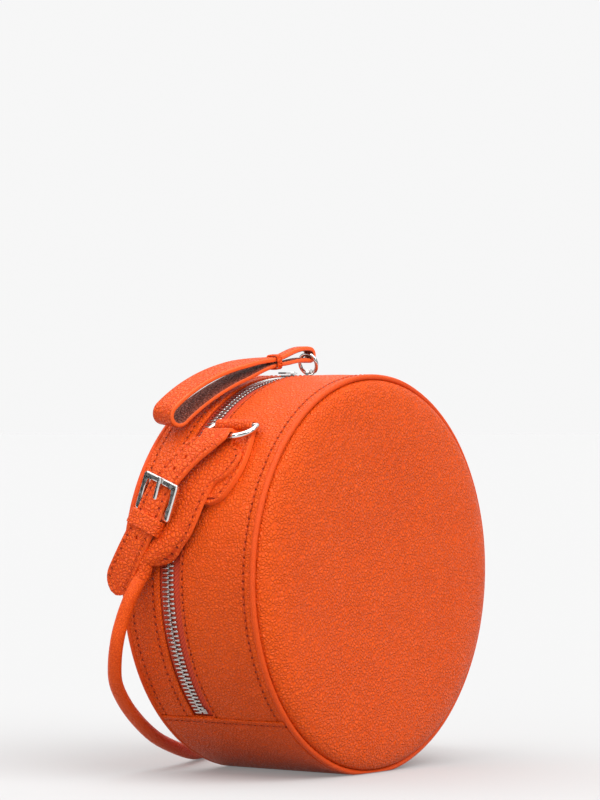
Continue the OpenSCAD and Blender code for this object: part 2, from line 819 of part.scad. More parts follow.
// Right strap end: one strap folded round its D-ring and sewn flat
sewn_angle = 20;
sewn_steps = 12;
step_in_fold = 0.25;
settled_share = 0.5;
right_waist_share = 0.2;
right_neck_past = 14.8;
right_neck_angle = strap_angle + right_neck_past;
function upper_at(t) = paddle_top + seam
    + (tongue_h - paddle_top - seam) * pow(cos(90 * min(1, t / settled_share)), 2);
function round_drum(angle, h) = (bag_r + h) * [cos(angle), sin(angle)];

module right_strap_end() {
    w = tongue_w / 2 - seam;
    n = cord_d / 2;
    l = right_end_l / 2;
    waist = right_end_l * right_waist_share;
    color(orange) {
        in_drum() mirrored() {
            past_ring() intersection() {
                skin(strap_lift, paddle_top);
                prism_at(strap_angle, right_ring_s)
                    polygon([[-l, -w], [waist, -w], [l, -n], [l, n], [waist, w], [-l, w]]);
            }
            strap_fold(right_ring_s);
            translate([0, 0, right_ring_s - w]) linear_extrude(2 * w) polygon(concat(
                [for (i = [0:sewn_steps]) let (t = (i - step_in_fold) / sewn_steps)
                    round_drum(fold_angle + sewn_angle * t, upper_at(t) + seam)],
                [for (i = [sewn_steps:-1:0]) let (t = (i - step_in_fold) / sewn_steps)
                    round_drum(fold_angle + sewn_angle * t, upper_at(t) + strap_t - seam)]));
        }
        rolled_neck(right_route[len(right_route) - 1], right_route[len(right_route) - 2])
            in_drum() mirrored() flat_end(right_neck_angle, right_ring_s, cord_d);
    }
}

// Routes of the rolled strap down each side of the bag and over the floor
left_route = [[-101.5, 21, 97], [-105, 23.5, 90], [-107, 26, 83], [-108, 29, 74], [-108.5, 31, 66],
    [-106, 34.5, 56], [-100, 39, 46], [-88, 44, 36], [-72, 49, 26], [-52, 54, 16], [-30, 59, 9],
    [-8, 66, 4.5], [12, 75, 3.3], [34, 86, 3.3]];
right_route = [[129.6, 66.2, 10.3], [129, 52, 9], [126, 38, 15], [119, 22, 29], [112, 9, 45],
    [107, -1, 61], [104.5, -7, 77], [103.5, -11, 91], [102, -13.5, 103]];

// Tube round a line of points. The side vector is one that the line never runs along.
function along(points, i) =
    let (d = points[min(len(points) - 1, i + 1)] - points[max(0, i - 1)]) d / norm(d);
function tube_ring(points, i, r, sides, side) =
    let (t = along(points, i), c = cross(t, side), u = c / norm(c), v = cross(t, u))
    [for (k = [0:sides - 1]) points[i] + r * (cos(360 * k / sides) * u + sin(360 * k / sides) * v)];
module tube(points, d, sides, side) {
    n = len(points);
    last = (n - 1) * sides;
    polyhedron(
        [for (i = [0:n - 1]) each tube_ring(points, i, d / 2, sides, side)],
        concat(
            [for (i = [0:n - 2], k = [0:sides - 1]) let (a = i * sides + k, b = i * sides + (k + 1) % sides)
                each [[a, a + sides, b], [b, a + sides, b + sides]]],
            [for (k = [1:sides - 2]) [0, k, k + 1]],
            [for (k = [1:sides - 2]) [last, last + k + 1, last + k]]));
}

cord_sides = 10;

module left_strap_cord() {
    color(orange) tube(concat(left_route, [coil_line[0]]), cord_d, cord_sides, [0.5, -0.85, 0]);
}

module right_strap_cord() {
    color(orange) tube(concat([coil_line[len(coil_line) - 1]], right_route), cord_d, cord_sides, [1, 0, 0]);
}

// Spare strap in a loose coil: it spirals in on the floor, climbs, and spirals out on top
coil_middle = [86, 70];
coil_outer = 39.7;
coil_inner = 30;
coil_from = 120;
coil_total = 820;
coil_step = 15;
coil_low = 3.3;
coil_high = 10.3;
function coil_height(t) = let (share = max(0, min(1, (t - coil_total / 2 + 90) / 180)))
    coil_low + (coil_high - coil_low) * sway(share);
function coil_point(t) =
    let (r = coil_inner + (coil_outer - coil_inner) * abs(2 * t / coil_total - 1), w = coil_from - t)
    [coil_middle[0] + r * cos(w), coil_middle[1] + r * sin(w), coil_height(t)];
function coil_way(t) = let (w = coil_from - t) [sin(w), -cos(w), 0];
coil_turns = [for (t = [0:coil_step:coil_total]) coil_point(t)];
coil_line = concat([coil_turns[0] - cord_d * coil_way(0)], coil_turns,
    [coil_point(coil_total) + cord_d * coil_way(coil_total)]);
half_turn = 180 / coil_step;
echo(least_coil_gap = min([for (i = [0:len(coil_turns) - 1], k = [0:len(coil_turns) - 1])
    if (k - i > half_turn) norm(coil_turns[k] - coil_turns[i]) - cord_d]));

module strap_coil() {
    color(orange) tube(coil_line, cord_d, 6, [0, 0, 1]);
}

front_panel();
front_edge_binding();
front_gusset();
base_panel();
base_board();
front_lining();
lower_back_panel();
lower_back_binding();
front_zip_tape();
front_zip_teeth();
zip_end_stops();
back_panel();
back_edge_binding();
back_gusset();
back_lining();
back_zip_tape();
back_zip_teeth();
left_zip_slider();
left_zip_pull();
right_zip_slider();
puller_ring();
hand_loop();
loop_binding();
left_ring_tab();
left_d_ring();
left_strap_end();
buckle_strap();
buckle_frame();
buckle_prong();
strap_keeper();
right_ring_tab();
right_d_ring();
right_strap_end();
left_strap_cord();
strap_coil();
right_strap_cord();
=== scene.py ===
from math import atan2, cos, degrees, hypot, pi, radians, sin, sqrt

import bmesh
import bpy
from mathutils import Matrix, Vector, noise


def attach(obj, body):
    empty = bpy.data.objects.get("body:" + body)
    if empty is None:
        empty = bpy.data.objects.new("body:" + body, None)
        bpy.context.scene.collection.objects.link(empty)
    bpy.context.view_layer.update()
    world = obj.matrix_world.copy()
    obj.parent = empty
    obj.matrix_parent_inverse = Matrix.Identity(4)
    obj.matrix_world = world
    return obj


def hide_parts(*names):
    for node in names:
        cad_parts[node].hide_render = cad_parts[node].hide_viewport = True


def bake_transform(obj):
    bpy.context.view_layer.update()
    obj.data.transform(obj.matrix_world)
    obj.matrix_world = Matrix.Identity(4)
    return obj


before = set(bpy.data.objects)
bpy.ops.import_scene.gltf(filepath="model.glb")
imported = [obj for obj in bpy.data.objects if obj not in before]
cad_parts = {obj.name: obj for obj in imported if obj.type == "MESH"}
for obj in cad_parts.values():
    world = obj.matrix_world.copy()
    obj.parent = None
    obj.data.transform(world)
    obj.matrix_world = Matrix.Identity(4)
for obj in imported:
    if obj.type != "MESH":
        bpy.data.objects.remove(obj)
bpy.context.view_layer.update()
scene = bpy.context.scene
mm = 0.001

# Camera. It stands a little over 1.7 m off, to the left of the bag's front, at the height of the
# bag's upper half, and looks almost level, so that both the front and the zip side show.
camera_data = bpy.data.cameras.new("studio_camera")
camera_data.lens = 161.7
camera_data.clip_end = 60
camera = bpy.data.objects.new("studio_camera", camera_data)
camera.location = (-1.4012, -1.0378, 0.1679)
camera.rotation_mode = "QUATERNION"
camera.rotation_quaternion = Vector((0.80202, 0.59723, 0.00611)).to_track_quat("-Z", "Y")
scene.collection.objects.link(camera)
scene.camera = camera

# Strap cord. A strip of the same leather, rolled and sewn into a round cord 6.5 mm thick. It leaves
# the left strap end, runs down and along the floor to a coil behind the bag, and rises to the
# right strap end.
drum_r = 96 * mm
drum_z = 94.8 * mm


def round_drum(angle, s, h):
    """A place on the drum: degrees up from its right side, metres to the front, metres out."""
    turn = radians(angle)
    r = drum_r + h
    return Vector((r * cos(turn), -s, drum_z + r * sin(turn)))


def feed(made, inputs):
    """Fills a shader node's inputs: another node's output is linked, a value is written."""
    for key, value in dict(inputs).items():
        if isinstance(value, bpy.types.NodeSocket):
            made.id_data.links.new(value, made.inputs[key])
        else:
            made.inputs[key].default_value = value


def node(tree, kind, inputs=(), **settings):
    """A shader node with its settings, its values and its links."""
    made = tree.nodes.new(kind)
    for key, value in settings.items():
        setattr(made, key, value)
    feed(made, inputs)
    return made


def maths(tree, operation, *values):
    """The result of a sum, a product or the like."""
    return node(tree, "ShaderNodeMath", enumerate(values), operation=operation).outputs[0]


def ramp(tree, value, start, end, low=0, high=1, curve="LINEAR"):
    """A value that goes from low to high while the one given goes from start to end."""
    span = {"Value": value, "From Min": start, "From Max": end, "To Min": low, "To Max": high}
    return node(tree, "ShaderNodeMapRange", span, interpolation_type=curve).outputs[0]


def tint(tree, share, low, high):
    """A colour between two others."""
    return node(tree, "ShaderNodeMix", {0: share, 6: low, 7: high}, data_type="RGBA").outputs[2]


def relief(tree, height, depth, strength=1):
    """The normal of a surface with that height, up to that depth."""
    values = {"Height": height, "Strength": strength, "Distance": depth}
    return node(tree, "ShaderNodeBump", values).outputs[0]


def new_material(name):
    """A new material, its node tree and its Principled shader."""
    made = bpy.data.materials.new(name)
    made.use_nodes = True
    return made, made.node_tree, made.node_tree.nodes["Principled BSDF"]


def effect(name, inputs, outputs):
    """An empty node group with named inputs and outputs, and its input and output nodes."""
    group = bpy.data.node_groups.new(name, "ShaderNodeTree")
    for title in inputs:
        group.interface.new_socket(title, in_out="INPUT", socket_type="NodeSocketFloat")
    for title in outputs:
        group.interface.new_socket(title, in_out="OUTPUT", socket_type="NodeSocketFloat")
    return group, group.nodes.new("NodeGroupInput"), group.nodes.new("NodeGroupOutput")


# Pebbled grain of the embossed leather: rounded cells with fine creases between them
grain, grain_in, grain_out = effect("pebbled_grain", ["Pebbles"], ["Height", "Crease", "Tone"])
place = node(grain, "ShaderNodeTexCoord").outputs["Object"]
place = node(grain, "ShaderNodeMapping", {"Vector": place, "Rotation": (0.5, 0.7, 0.3)}).outputs[0]
drift = node(grain, "ShaderNodeTexNoise", {"Vector": place, "Scale": 330, "Detail": 2}).outputs["Color"]
drift = node(grain, "ShaderNodeVectorMath", {0: drift, 1: (0.5, 0.5, 0.5)}, operation="SUBTRACT").outputs[0]
drift = node(grain, "ShaderNodeVectorMath", {0: drift, "Scale": 0.7 * mm}, operation="SCALE").outputs[0]
bent = node(grain, "ShaderNodeVectorMath", {0: place, 1: drift}, operation="ADD").outputs[0]
pebble = {"Vector": bent, "Scale": grain_in.outputs["Pebbles"], "Randomness": 0.86}
edge = node(grain, "ShaderNodeTexVoronoi", pebble, feature="DISTANCE_TO_EDGE").outputs["Distance"]
each = node(grain, "ShaderNodeTexVoronoi", pebble).outputs["Color"]
each = node(grain, "ShaderNodeSeparateColor", {0: each}).outputs
dome = maths(grain, "MULTIPLY_ADD", each[0], 0.3, ramp(grain, edge, 0, 0.3, curve="SMOOTHERSTEP"))
fine = node(grain, "ShaderNodeTexNoise", {"Vector": place, "Scale": 2600, "Detail": 3}).outputs["Fac"]
cloud = node(grain, "ShaderNodeTexNoise", {"Vector": place, "Scale": 34, "Detail": 3}).outputs["Fac"]
feed(grain_out, {"Height": maths(grain, "MULTIPLY_ADD", fine, 0.06, dome),
                 "Crease": ramp(grain, edge, 0, 0.17, 1, 0, "SMOOTHSTEP"),
                 "Tone": maths(grain, "MULTIPLY_ADD", each[1], 0.3, cloud)})

# Needle holes and the shallow groove of a seam. The map "seam" holds the way along the row and
# one metre more than the distance from it, so that leather without the map has none.
seam, seam_in, seam_out = effect("needle_holes", ["Pitch"], ["Hole", "Groove"])
row = node(seam, "ShaderNodeUVMap", uv_map="seam").outputs[0]
row = node(seam, "ShaderNodeSeparateXYZ", {0: row}).outputs
off = maths(seam, "ABSOLUTE", maths(seam, "SUBTRACT", row[1], 1))
way = maths(seam, "PINGPONG", row[0], seam_in.outputs["Pitch"])
away = maths(seam, "SQRT", maths(seam, "MULTIPLY_ADD", off, off, maths(seam, "POWER", way, 2)))
feed(seam_out, {"Hole": ramp(seam, away, 0.3 * mm, 0.7 * mm, 1, 0, "SMOOTHSTEP"),
                "Groove": ramp(seam, off, 0.1 * mm, 1.1 * mm, 1, 0, "SMOOTHSTEP")})
stitch_pitch = 3.63 * mm

# The deeper orange is painted shade in the creases of the grain and the grooves of seams, and also the darker
# tone of random cells. The darkest colour is painted shade in the needle holes.
orange = (0.83, 0.096, 0.004, 1)
deep_orange = (0.48, 0.022, 0.001, 1)
needle_hole_shade = (0.28, 0.014, 0.001, 1)


def leather(name, colour, shade, pebbles, depth, roughness, crease_shade=0.85, gloss=0.21):
    """Embossed leather: pebbles, painted shade in the creases and seam grooves, soft clouds of tone, needle
    holes coloured dark as painted shade.
    """
    made, tree, shader = new_material(name)
    skin = node(tree, "ShaderNodeGroup", {"Pebbles": pebbles}, node_tree=grain).outputs
    holes = node(tree, "ShaderNodeGroup", {"Pitch": stitch_pitch / 2}, node_tree=seam).outputs
    tone = ramp(tree, skin["Tone"], 0.4, 0.95, 0, 0.13)
    # Painted shade: the creases between the pebbles and the seam's groove are darkened, on top of the random
    # tone of cells and clouds.
    dark = maths(tree, "MULTIPLY_ADD", skin["Crease"], crease_shade, tone)
    dark = maths(tree, "MULTIPLY_ADD", holes["Groove"], 0.18, dark)
    dark.node.use_clamp = True
    level = maths(tree, "MULTIPLY_ADD", holes["Hole"], -1.6, skin["Height"])
    level = maths(tree, "MULTIPLY_ADD", holes["Groove"], -0.9, level)
    # Painted shade: the needle holes are coloured dark.
    feed(shader, {"Base Color": tint(tree, holes["Hole"], tint(tree, dark, colour, shade), needle_hole_shade),
                  "Roughness": maths(tree, "MULTIPLY_ADD", skin["Crease"], 0.22, roughness),
                  "Specular IOR Level": gloss,
                  "Normal": relief(tree, level, depth)})
    return made


strap_leather = leather("strap_leather", orange, deep_orange, 520, 0.44 * mm, 0.42, crease_shade=0.55)
cord_leather = leather("cord_leather", orange, deep_orange, 900, 0.12 * mm, 0.4, crease_shade=0.5)


def cut_sheet(rows, columns, lay, closed=False):
    """A grid of leather. Its point (u, v), each from 0 to 1, goes to lay(u, v)."""
    bm = bmesh.new()
    bmesh.ops.create_grid(bm, x_segments=rows, y_segments=columns, size=0.5)
    cut = bm.loops.layers.uv.new("cut")
    for face in bm.faces:
        for loop in face.loops:
            loop[cut].uv = (loop.vert.co.x + 0.5, loop.vert.co.y + 0.5)
    for vert in bm.verts:
        vert.co = lay(vert.co.x + 0.5, vert.co.y + 0.5)
    if closed:
        bmesh.ops.remove_doubles(bm, verts=bm.verts, dist=0.01 * mm)
    return bm


def face_outwards(bm):
    """Turns every face of a closed shape outwards."""
    bmesh.ops.recalc_face_normals(bm, faces=bm.faces)


def mark_seams(bm, rows):
    """Writes the map "seam" for rows of stitches: rows(u, v) gives the way along and the distance."""
    cut = bm.loops.layers.uv["cut"]
    layer = bm.loops.layers.uv.new("seam")
    for face in bm.faces:
        for loop in face.loops:
            along, off = rows(*loop[cut].uv)
            loop[layer].uv = (along, 1 + off)


def mesh_from(name, bm):
    """The finished mesh of a bmesh, which ends with it."""
    mesh = bpy.data.meshes.new(name)
    bm.to_mesh(mesh)
    bm.free()
    return mesh


def piece(name, bm, materials, body, slot, *nodes):
    """A finished mesh that rides on a body and stands for the CAD nodes named."""
    mesh = mesh_from(name, bm)
    for material in materials:
        mesh.materials.append(material)
    mesh.shade_smooth()
    made = bpy.data.objects.new(name, mesh)
    scene.collection.objects.link(made)
    if body:
        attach(made, body)
    if nodes:
        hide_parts(*nodes)
    return made


def through(points, steps):
    """A smooth line through points, with that many steps between each two."""
    line = []
    for i in range(len(points) - 1):
        a, b, c, d = (points[min(max(j, 0), len(points) - 1)] for j in (i - 1, i, i + 1, i + 2))
        for k in range(steps):
            t = k / steps
            line.append(b + (c - a) * (t / 2) + (a * 2 - b * 5 + c * 4 - d) * (t * t / 2)
                        + (b * 3 - a - c * 3 + d) * (t ** 3 / 2))
    return line + [points[-1]]


def heading(line, i):
    """The direction in which a line of points runs at one of them."""
    return (line[min(i + 1, len(line) - 1)] - line[max(i - 1, 0)]).normalized()


cord_r = 3.25 * mm
left_route = [(-101.5, 21, 97), (-105, 23.5, 90), (-107, 26, 83), (-108, 29, 74), (-108.5, 31, 66),
              (-106, 34.5, 56), (-100, 39, 46), (-88, 44, 36), (-72, 49, 26), (-52, 54, 16),
              (-30, 59, 9), (-8, 66, 4.5), (12, 75, 3.3), (34, 86, 3.3)]
right_route = [(129.6, 66.2, 10.3), (129, 52, 9), (126, 38, 15), (119, 22, 29), (112, 9, 45),
               (107, -1, 61), (104.5, -7, 77), (103.5, -11, 91), (102, -13.5, 103)]
coil = []
coil_turn = 820
for t in range(0, coil_turn + 1, 15):
    w = radians(120 - t)
    r = 30 + 9.7 * abs(2 * t / coil_turn - 1)
    raised = min(max((t - 320) / 180, 0), 1)
    coil.append((86 + r * cos(w), 70 + r * sin(w), 3.3 + 3.5 * (1 - cos(pi * raised))))
route_steps = 4
route = through([Vector(p) * mm for p in left_route + coil + right_route], route_steps)
cord_length = sum((q - p).length for p, q in zip(route, route[1:]))

# The cord's seam faces the bag where it hangs and lies on top where the cord is on the floor
lying = range(route_steps * (len(left_route) - 1), len(route) - 1 - route_steps * (len(right_route) - 1))
seam_side = []
for i, p in enumerate(route):
    ahead = heading(route, i)
    inward = Vector((0, 0, 1)) if i in lying else Vector((-p.x, 0, drum_z - p.z))
    seam_side.append((inward - ahead * inward.dot(ahead)).normalized())
for _ in range(30):
    evened = [sum(seam_side[i - 1:i + 2], Vector()).normalized() for i in range(1, len(route) - 1)]
    seam_side = [seam_side[0]] + evened + [seam_side[-1]]


def lay_cord(u, v):
    i = round(u * (len(route) - 1))
    ahead = heading(route, i)
    inward = (seam_side[i] - ahead * seam_side[i].dot(ahead)).normalized()
    side = ahead.cross(inward)
    w = 2 * pi * v
    r = cord_r * (1 + 0.02 * noise.noise(Vector((i * 0.4, cos(w), sin(w)))))
    pinch = 1 - 0.13 * max(0, cos(w)) ** 40
    return route[i] + (inward * cos(w) + side * sin(w)) * r * pinch


cord_bm = cut_sheet(len(route) - 1, 28, lay_cord, closed=True)
mark_seams(cord_bm, lambda u, v: (u * cord_length, min(v, 1 - v) * 2 * pi * cord_r - 1.3 * mm))
bmesh.ops.holes_fill(cord_bm, edges=[e for e in cord_bm.edges if e.is_boundary])
face_outwards(cord_bm)
strap_cord = piece("strap_cord", cord_bm, [cord_leather], "bag", "strap_leather",
                   "left_strap_cord", "strap_coil", "right_strap_cord")
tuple(route[0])

# Floor and light. A pale studio floor that runs out to a white background, and soft lamps: a broad
# one from the front and above, a weaker one low on the left, and one from above and a little behind.
white = (1, 1, 1, 1)


def set_piece(name, bm, material):
    """A part of the studio, not of the bag."""
    mesh = mesh_from(name, bm)
    mesh.materials.append(material)
    made = bpy.data.objects.new(name, mesh)
    scene.collection.objects.link(made)
    return made


def seen_straight(tree):
    """A mask that is one where the camera, a reflection or clear stuff sees the surface."""
    rays = node(tree, "ShaderNodeLightPath").outputs
    seen = maths(tree, "MAXIMUM", rays["Is Camera Ray"], rays["Is Glossy Ray"])
    return maths(tree, "MAXIMUM", seen, rays["Is Transmission Ray"])


paper, tree, shader = new_material("floor_paper")
tree.nodes.remove(shader)
seen = seen_straight(tree)
pale = tint(tree, seen, (0.34, 0.34, 0.34, 1), (0.42, 0.42, 0.42, 1))
matt_paper = node(tree, "ShaderNodeBsdfDiffuse", {"Color": pale})
glow = node(tree, "ShaderNodeEmission", {"Color": white, "Strength": maths(tree, "MULTIPLY", seen, 0.183)})
both = node(tree, "ShaderNodeAddShader", {0: matt_paper.outputs[0], 1: glow.outputs[0]})
feed(tree.nodes["Material Output"], {"Surface": both.outputs[0]})
floor_bm = bmesh.new()
bmesh.ops.create_circle(floor_bm, cap_ends=True, segments=64, radius=50)
floor = set_piece("floor", floor_bm, paper)

world = bpy.data.worlds.new("studio")
scene.world = world
world.use_nodes = True
tree = world.node_tree
sky = ramp(tree, seen_straight(tree), 0, 1, 0.56, 0.928)
feed(tree.nodes["Background"], {"Color": white, "Strength": sky})

# Dark flags stand round the set, seen in reflections only, and give the leather and the metal
# their depth between the white gaps. None stands behind the bag, where the background is white.
# The gaps are told by their angles, because the order of a bmesh's faces changes from run to run.
flag_cloth, tree, shader = new_material("dark_flag_cloth")
tree.nodes.remove(shader)
black = node(tree, "ShaderNodeBsdfDiffuse", {"Color": (0.03, 0.03, 0.03, 1)})
feed(tree.nodes["Material Output"], {"Surface": black.outputs[0]})
flags_bm = bmesh.new()
bmesh.ops.create_circle(flags_bm, segments=36, radius=9)
raised = bmesh.ops.extrude_edge_only(flags_bm, edges=flags_bm.edges[:])["geom"]
bmesh.ops.translate(flags_bm, verts=[g for g in raised if isinstance(g, bmesh.types.BMVert)], vec=(0, 0, 7))
gap_angles = (95, 135, 175, 255, 295, 325, 345)
behind = Vector((0.8, 0.6, 0))
gaps = []
for face in flags_bm.faces:
    middle = face.calc_center_median()
    angle = round(degrees(atan2(middle.y, middle.x))) % 360
    if angle in gap_angles or middle.normalized().dot(behind) > 0.72:
        gaps.append(face)
bmesh.ops.delete(flags_bm, geom=gaps, context="FACES")
flags = set_piece("dark_flags", flags_bm, flag_cloth)
for ray in ("camera", "diffuse", "transmission", "volume_scatter", "shadow"):
    setattr(flags, "visible_" + ray, False)

for lamp_name, towards, strength, spread in (("front_lamp", (-0.1, -0.75, 0.75), 2.5, 55),
                                             ("left_lamp", (-0.9, -0.1, 0.12), 1.1, 60),
                                             ("top_lamp", (-0.15, 0.3, 0.95), 2.0, 80)):
    lamp_data = bpy.data.lights.new(lamp_name, "SUN")
    lamp_data.energy = strength
    lamp_data.angle = radians(spread)
    lamp = bpy.data.objects.new(lamp_name, lamp_data)
    lamp.rotation_mode = "QUATERNION"
    lamp.rotation_quaternion = Vector(towards).to_track_quat("Z", "Y")
    scene.collection.objects.link(lamp)
scene.view_settings.view_transform = "Standard"

# Base panel. A doubled piece of the leather that wraps the lower quarter of the drum. Its two
# turned ends lap over the gusset and are sewn down; where the bag stands it is pressed flat.
drum_leather = leather("drum_leather", orange, deep_orange, 600, 0.5 * mm, 0.37, crease_shade=0.26, gloss=0.19)
# Edge paint on the cut edges of straps and tabs. It is their own finish, but it is made a lighter orange than
# the leather as a painted highlight along the edges, with painted shade in its fine creases.
edge_paint_and_highlight = leather("edge_paint_with_highlight", (0.88, 0.13, 0.020, 1), (0.62, 0.055, 0.006, 1), 1500, 0.03 * mm, 0.34,
                     crease_shade=0.2, gloss=0.35)


def wall(made, thickness, inwards=-1.0, back_material=0, edge_material=0, rounding=0.35 * mm):
    """Gives laid leather its thickness, and rounds its edges."""
    solid = made.modifiers.new("thickness", "SOLIDIFY")
    solid.thickness = thickness
    solid.offset = inwards
    solid.material_offset = back_material
    solid.material_offset_rim = edge_material
    if rounding:
        bevel = made.modifiers.new("edges", "BEVEL")
        bevel.width = rounding
        bevel.segments = 3
        bevel.limit_method = "ANGLE"
        bevel.angle_limit = radians(50)


def unevenness(p, size, amount):
    """Soft, uneven swelling of leather over foam."""
    return amount * noise.noise(p / size)


def outward(angle):
    """The direction straight out of the drum."""
    return round_drum(angle, 0, 1) - round_drum(angle, 0, 0)


def add_to(bm, part):
    """Puts a finished bmesh into another."""
    mesh = mesh_from("part", part)
    bm.from_mesh(mesh)
    bpy.data.meshes.remove(mesh)


thread = leather("thread", (0.78, 0.10, 0.014, 1), (0.5, 0.04, 0.004, 1), 2400, 0.05 * mm, 0.55)
threads = {"bag": bmesh.new(), "back": bmesh.new()}


def sew(body, line):
    """A row of stitches along (point, normal) pairs that lie close together."""
    half_long, half_wide, half_high, sunk = stitch_pitch * 0.34, 0.3 * mm, 0.24 * mm, 0.04 * mm
    row = bmesh.new()
    way = 0.0
    next_stitch = 0.5 * stitch_pitch
    for (p, n), (q, _) in zip(line, line[1:]):
        gap = (q - p).length
        ahead = (q - p).normalized()
        while next_stitch < way + gap:
            side = n.cross(ahead).normalized()
            up = ahead.cross(side)
            middle = p.lerp(q, (next_stitch - way) / gap) + up * sunk
            turn = Matrix((ahead * half_long, side * half_wide, up * half_high)).transposed().to_4x4()
            bmesh.ops.create_uvsphere(row, u_segments=8, v_segments=4, radius=1,
                                      matrix=Matrix.Translation(middle) @ turn)
            next_stitch += stitch_pitch
        way += gap
    add_to(threads[body], row)


base_from, base_to = 224.0, 316.0
base_half = 36.2 * mm
base_length = radians(base_to - base_from) * drum_r
end_seam = 3 * mm
pressed_flat = 0.3 * mm


def lay_base(u, v):
    angle = base_from + (base_to - base_from) * u
    s = base_half * (2 * v - 1)
    end = min(u, 1 - u) * base_length
    h = 0.25 * mm * (1 - min(end / (2 * mm), 1)) + unevenness(round_drum(angle, s, 0), 17 * mm, 0.12 * mm)
    p = round_drum(angle, s, h)
    p.z = max(p.z, pressed_flat)
    return p


base_bm = cut_sheet(110, 52, lay_base)
mark_seams(base_bm, lambda u, v: (v * 2 * base_half, min(u, 1 - u) * base_length - end_seam))
base = piece("base_cover", base_bm, [drum_leather], "bag", "orange_leather", "base_panel")
wall(base, 2.2 * mm, rounding=0.5 * mm)
for angle in (base_from + degrees(end_seam / drum_r), base_to - degrees(end_seam / drum_r)):
    shares = [i / 100 for i in range(-94, 95, 2)]
    sew("bag", [(round_drum(angle, share * base_half, 0.25 * mm), outward(angle)) for share in shares])

# Front gusset. A long strip of the leather, turned under along the zip, with one row of
# stitches beside the zip and one beside the edge binding.
gusset_from, gusset_to = -43.8, 223.8
gusset_length = radians(gusset_to - gusset_from) * (drum_r - 0.3 * mm)


def gusset_strip(name, back_edge, front_edge, columns, stitched, body, replaced):
    """A strip round the drum between two edges, with a row of stitches along each."""
    width = front_edge - back_edge

    def lay(u, v):
        angle = gusset_from + (gusset_to - gusset_from) * u
        s = back_edge + width * v
        across = 2 * v - 1
        h = -0.6 * mm + 0.5 * mm * (1 - across * across)
        h += unevenness(round_drum(angle, s, 0), 15 * mm, 0.16 * mm)
        return round_drum(angle, s, h)

    bm = cut_sheet(300, columns, lay)
    mark_seams(bm, lambda u, v: (u * gusset_length, min(back_edge + width * v - stitched[0],
                                                        stitched[1] - back_edge - width * v)))
    made = piece(name, bm, [drum_leather], body, "orange_leather", replaced)
    wall(made, 1.5 * mm, rounding=0.7 * mm)
    angles = [gusset_from + (gusset_to - gusset_from) * i / 300 for i in range(301)]
    for s in stitched:
        sew(body, [(round_drum(angle, s, -0.3 * mm), outward(angle)) for angle in angles])


gusset_strip("front_gusset_strip", -4.8 * mm, 36.8 * mm, 30, (-2.9 * mm, 33.0 * mm), "bag", "front_gusset")

# Back gusset. The narrow strip behind the zip, made as the front one; it opens with the back.
gusset_strip("back_gusset_strip", -36.8 * mm, -16.7 * mm, 16, (-33.0 * mm, -20.4 * mm), "back", "back_gusset")

# Front and back panels. Round pads of leather over foam, which swell out past their bindings.
# The back one is a single pad in place of both back panels.
panel_r = 93.2 * mm
panel_s = 37.65 * mm
bulge = 8.35 * mm


def profile(points):
    """A bmesh with one line through places at a distance from the axis and along it."""
    bm = bmesh.new()
    rim = [bm.verts.new((r, 0, z)) for r, z in points]
    for pair in zip(rim, rim[1:]):
        bm.edges.new(pair)
    return bm


def spin_round(bm, steps):
    """Spins what a bmesh holds once round its Z axis, and closes it."""
    bmesh.ops.spin(bm, geom=bm.verts[:] + bm.edges[:], cent=(0, 0, 0), axis=(0, 0, 1), angle=2 * pi,
                   steps=steps, use_merge=True)
    bmesh.ops.remove_doubles(bm, verts=bm.verts, dist=0.005 * mm)


def onto_drum(bm, side=1):
    """Turns a spun shape to the drum's axis, with its end to the front, or to the back for -1."""
    upright = Matrix.Translation((0, 0, drum_z)) @ Matrix.Rotation(pi / 2, 4, "X")
    bmesh.ops.transform(bm, verts=bm.verts, matrix=upright)
    if side < 0:
        bmesh.ops.rotate(bm, verts=bm.verts, cent=(0, 0, 0), matrix=Matrix.Rotation(pi, 3, "Z"))


def pad(side):
    """A disc with a full crown that falls steeply to its rim, and a flat back."""
    steps = 46
    points = []
    for i in range(steps + 1):
        share = sin(pi / 2 * i / steps)
        points.append((panel_r * share, panel_s + bulge * max(0, 1 - share ** 6) ** 0.4))
    bm = profile(points + [(panel_r, panel_s - 2.6 * mm), (0, panel_s - 2.6 * mm)])
    spin_round(bm, 160)
    for vert in bm.verts:
        inside = panel_r - hypot(vert.co.x, vert.co.y)
        if vert.co.z > panel_s:
            soft = noise.noise(vert.co / (26 * mm)) * 0.30 * mm
            pull = noise.noise(Vector((vert.co.x, vert.co.y, 0)).normalized() * 9) * 0.22 * mm
            near_seam = max(0, 1 - abs(inside - 6 * mm) / (6 * mm))
            vert.co.z += soft * min(1, inside / (12 * mm)) + pull * near_seam
    onto_drum(bm, side)
    face_outwards(bm)
    return bm


front_pad = piece("front_pad", pad(1), [drum_leather], "bag", "orange_leather", "front_panel")
back_pad = piece("back_pad", pad(-1), [drum_leather], None, "orange_leather",
                 "back_panel", "lower_back_panel")
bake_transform(back_pad)

# Edge bindings. Narrow folded strips of smooth leather, sewn in between each panel and its gusset,
# which stand proud as a rounded welt.
binding_leather = leather("binding_leather", (0.78, 0.086, 0.006, 1), deep_orange, 1300, 0.1 * mm, 0.4,
                          crease_shade=0.4)
welt_r = 94.65 * mm


def welt(s):
    """A round roll all the way round one rim, pressed flat where the bag stands."""
    bm = bmesh.new()
    upright = Matrix.Translation((welt_r, 0, s)) @ Matrix.Rotation(pi / 2, 4, "X")
    bmesh.ops.create_circle(bm, segments=16, radius=1.38 * mm, matrix=upright)
    spin_round(bm, 220)
    for vert in bm.verts:
        out = Vector((vert.co.x, vert.co.y, 0)).normalized()
        vert.co += out * noise.noise(out * 5 + Vector((0, 0, s * 40))) * 0.12 * mm
    onto_drum(bm)
    for vert in bm.verts:
        vert.co.z = max(vert.co.z, pressed_flat)
    face_outwards(bm)
    return bm


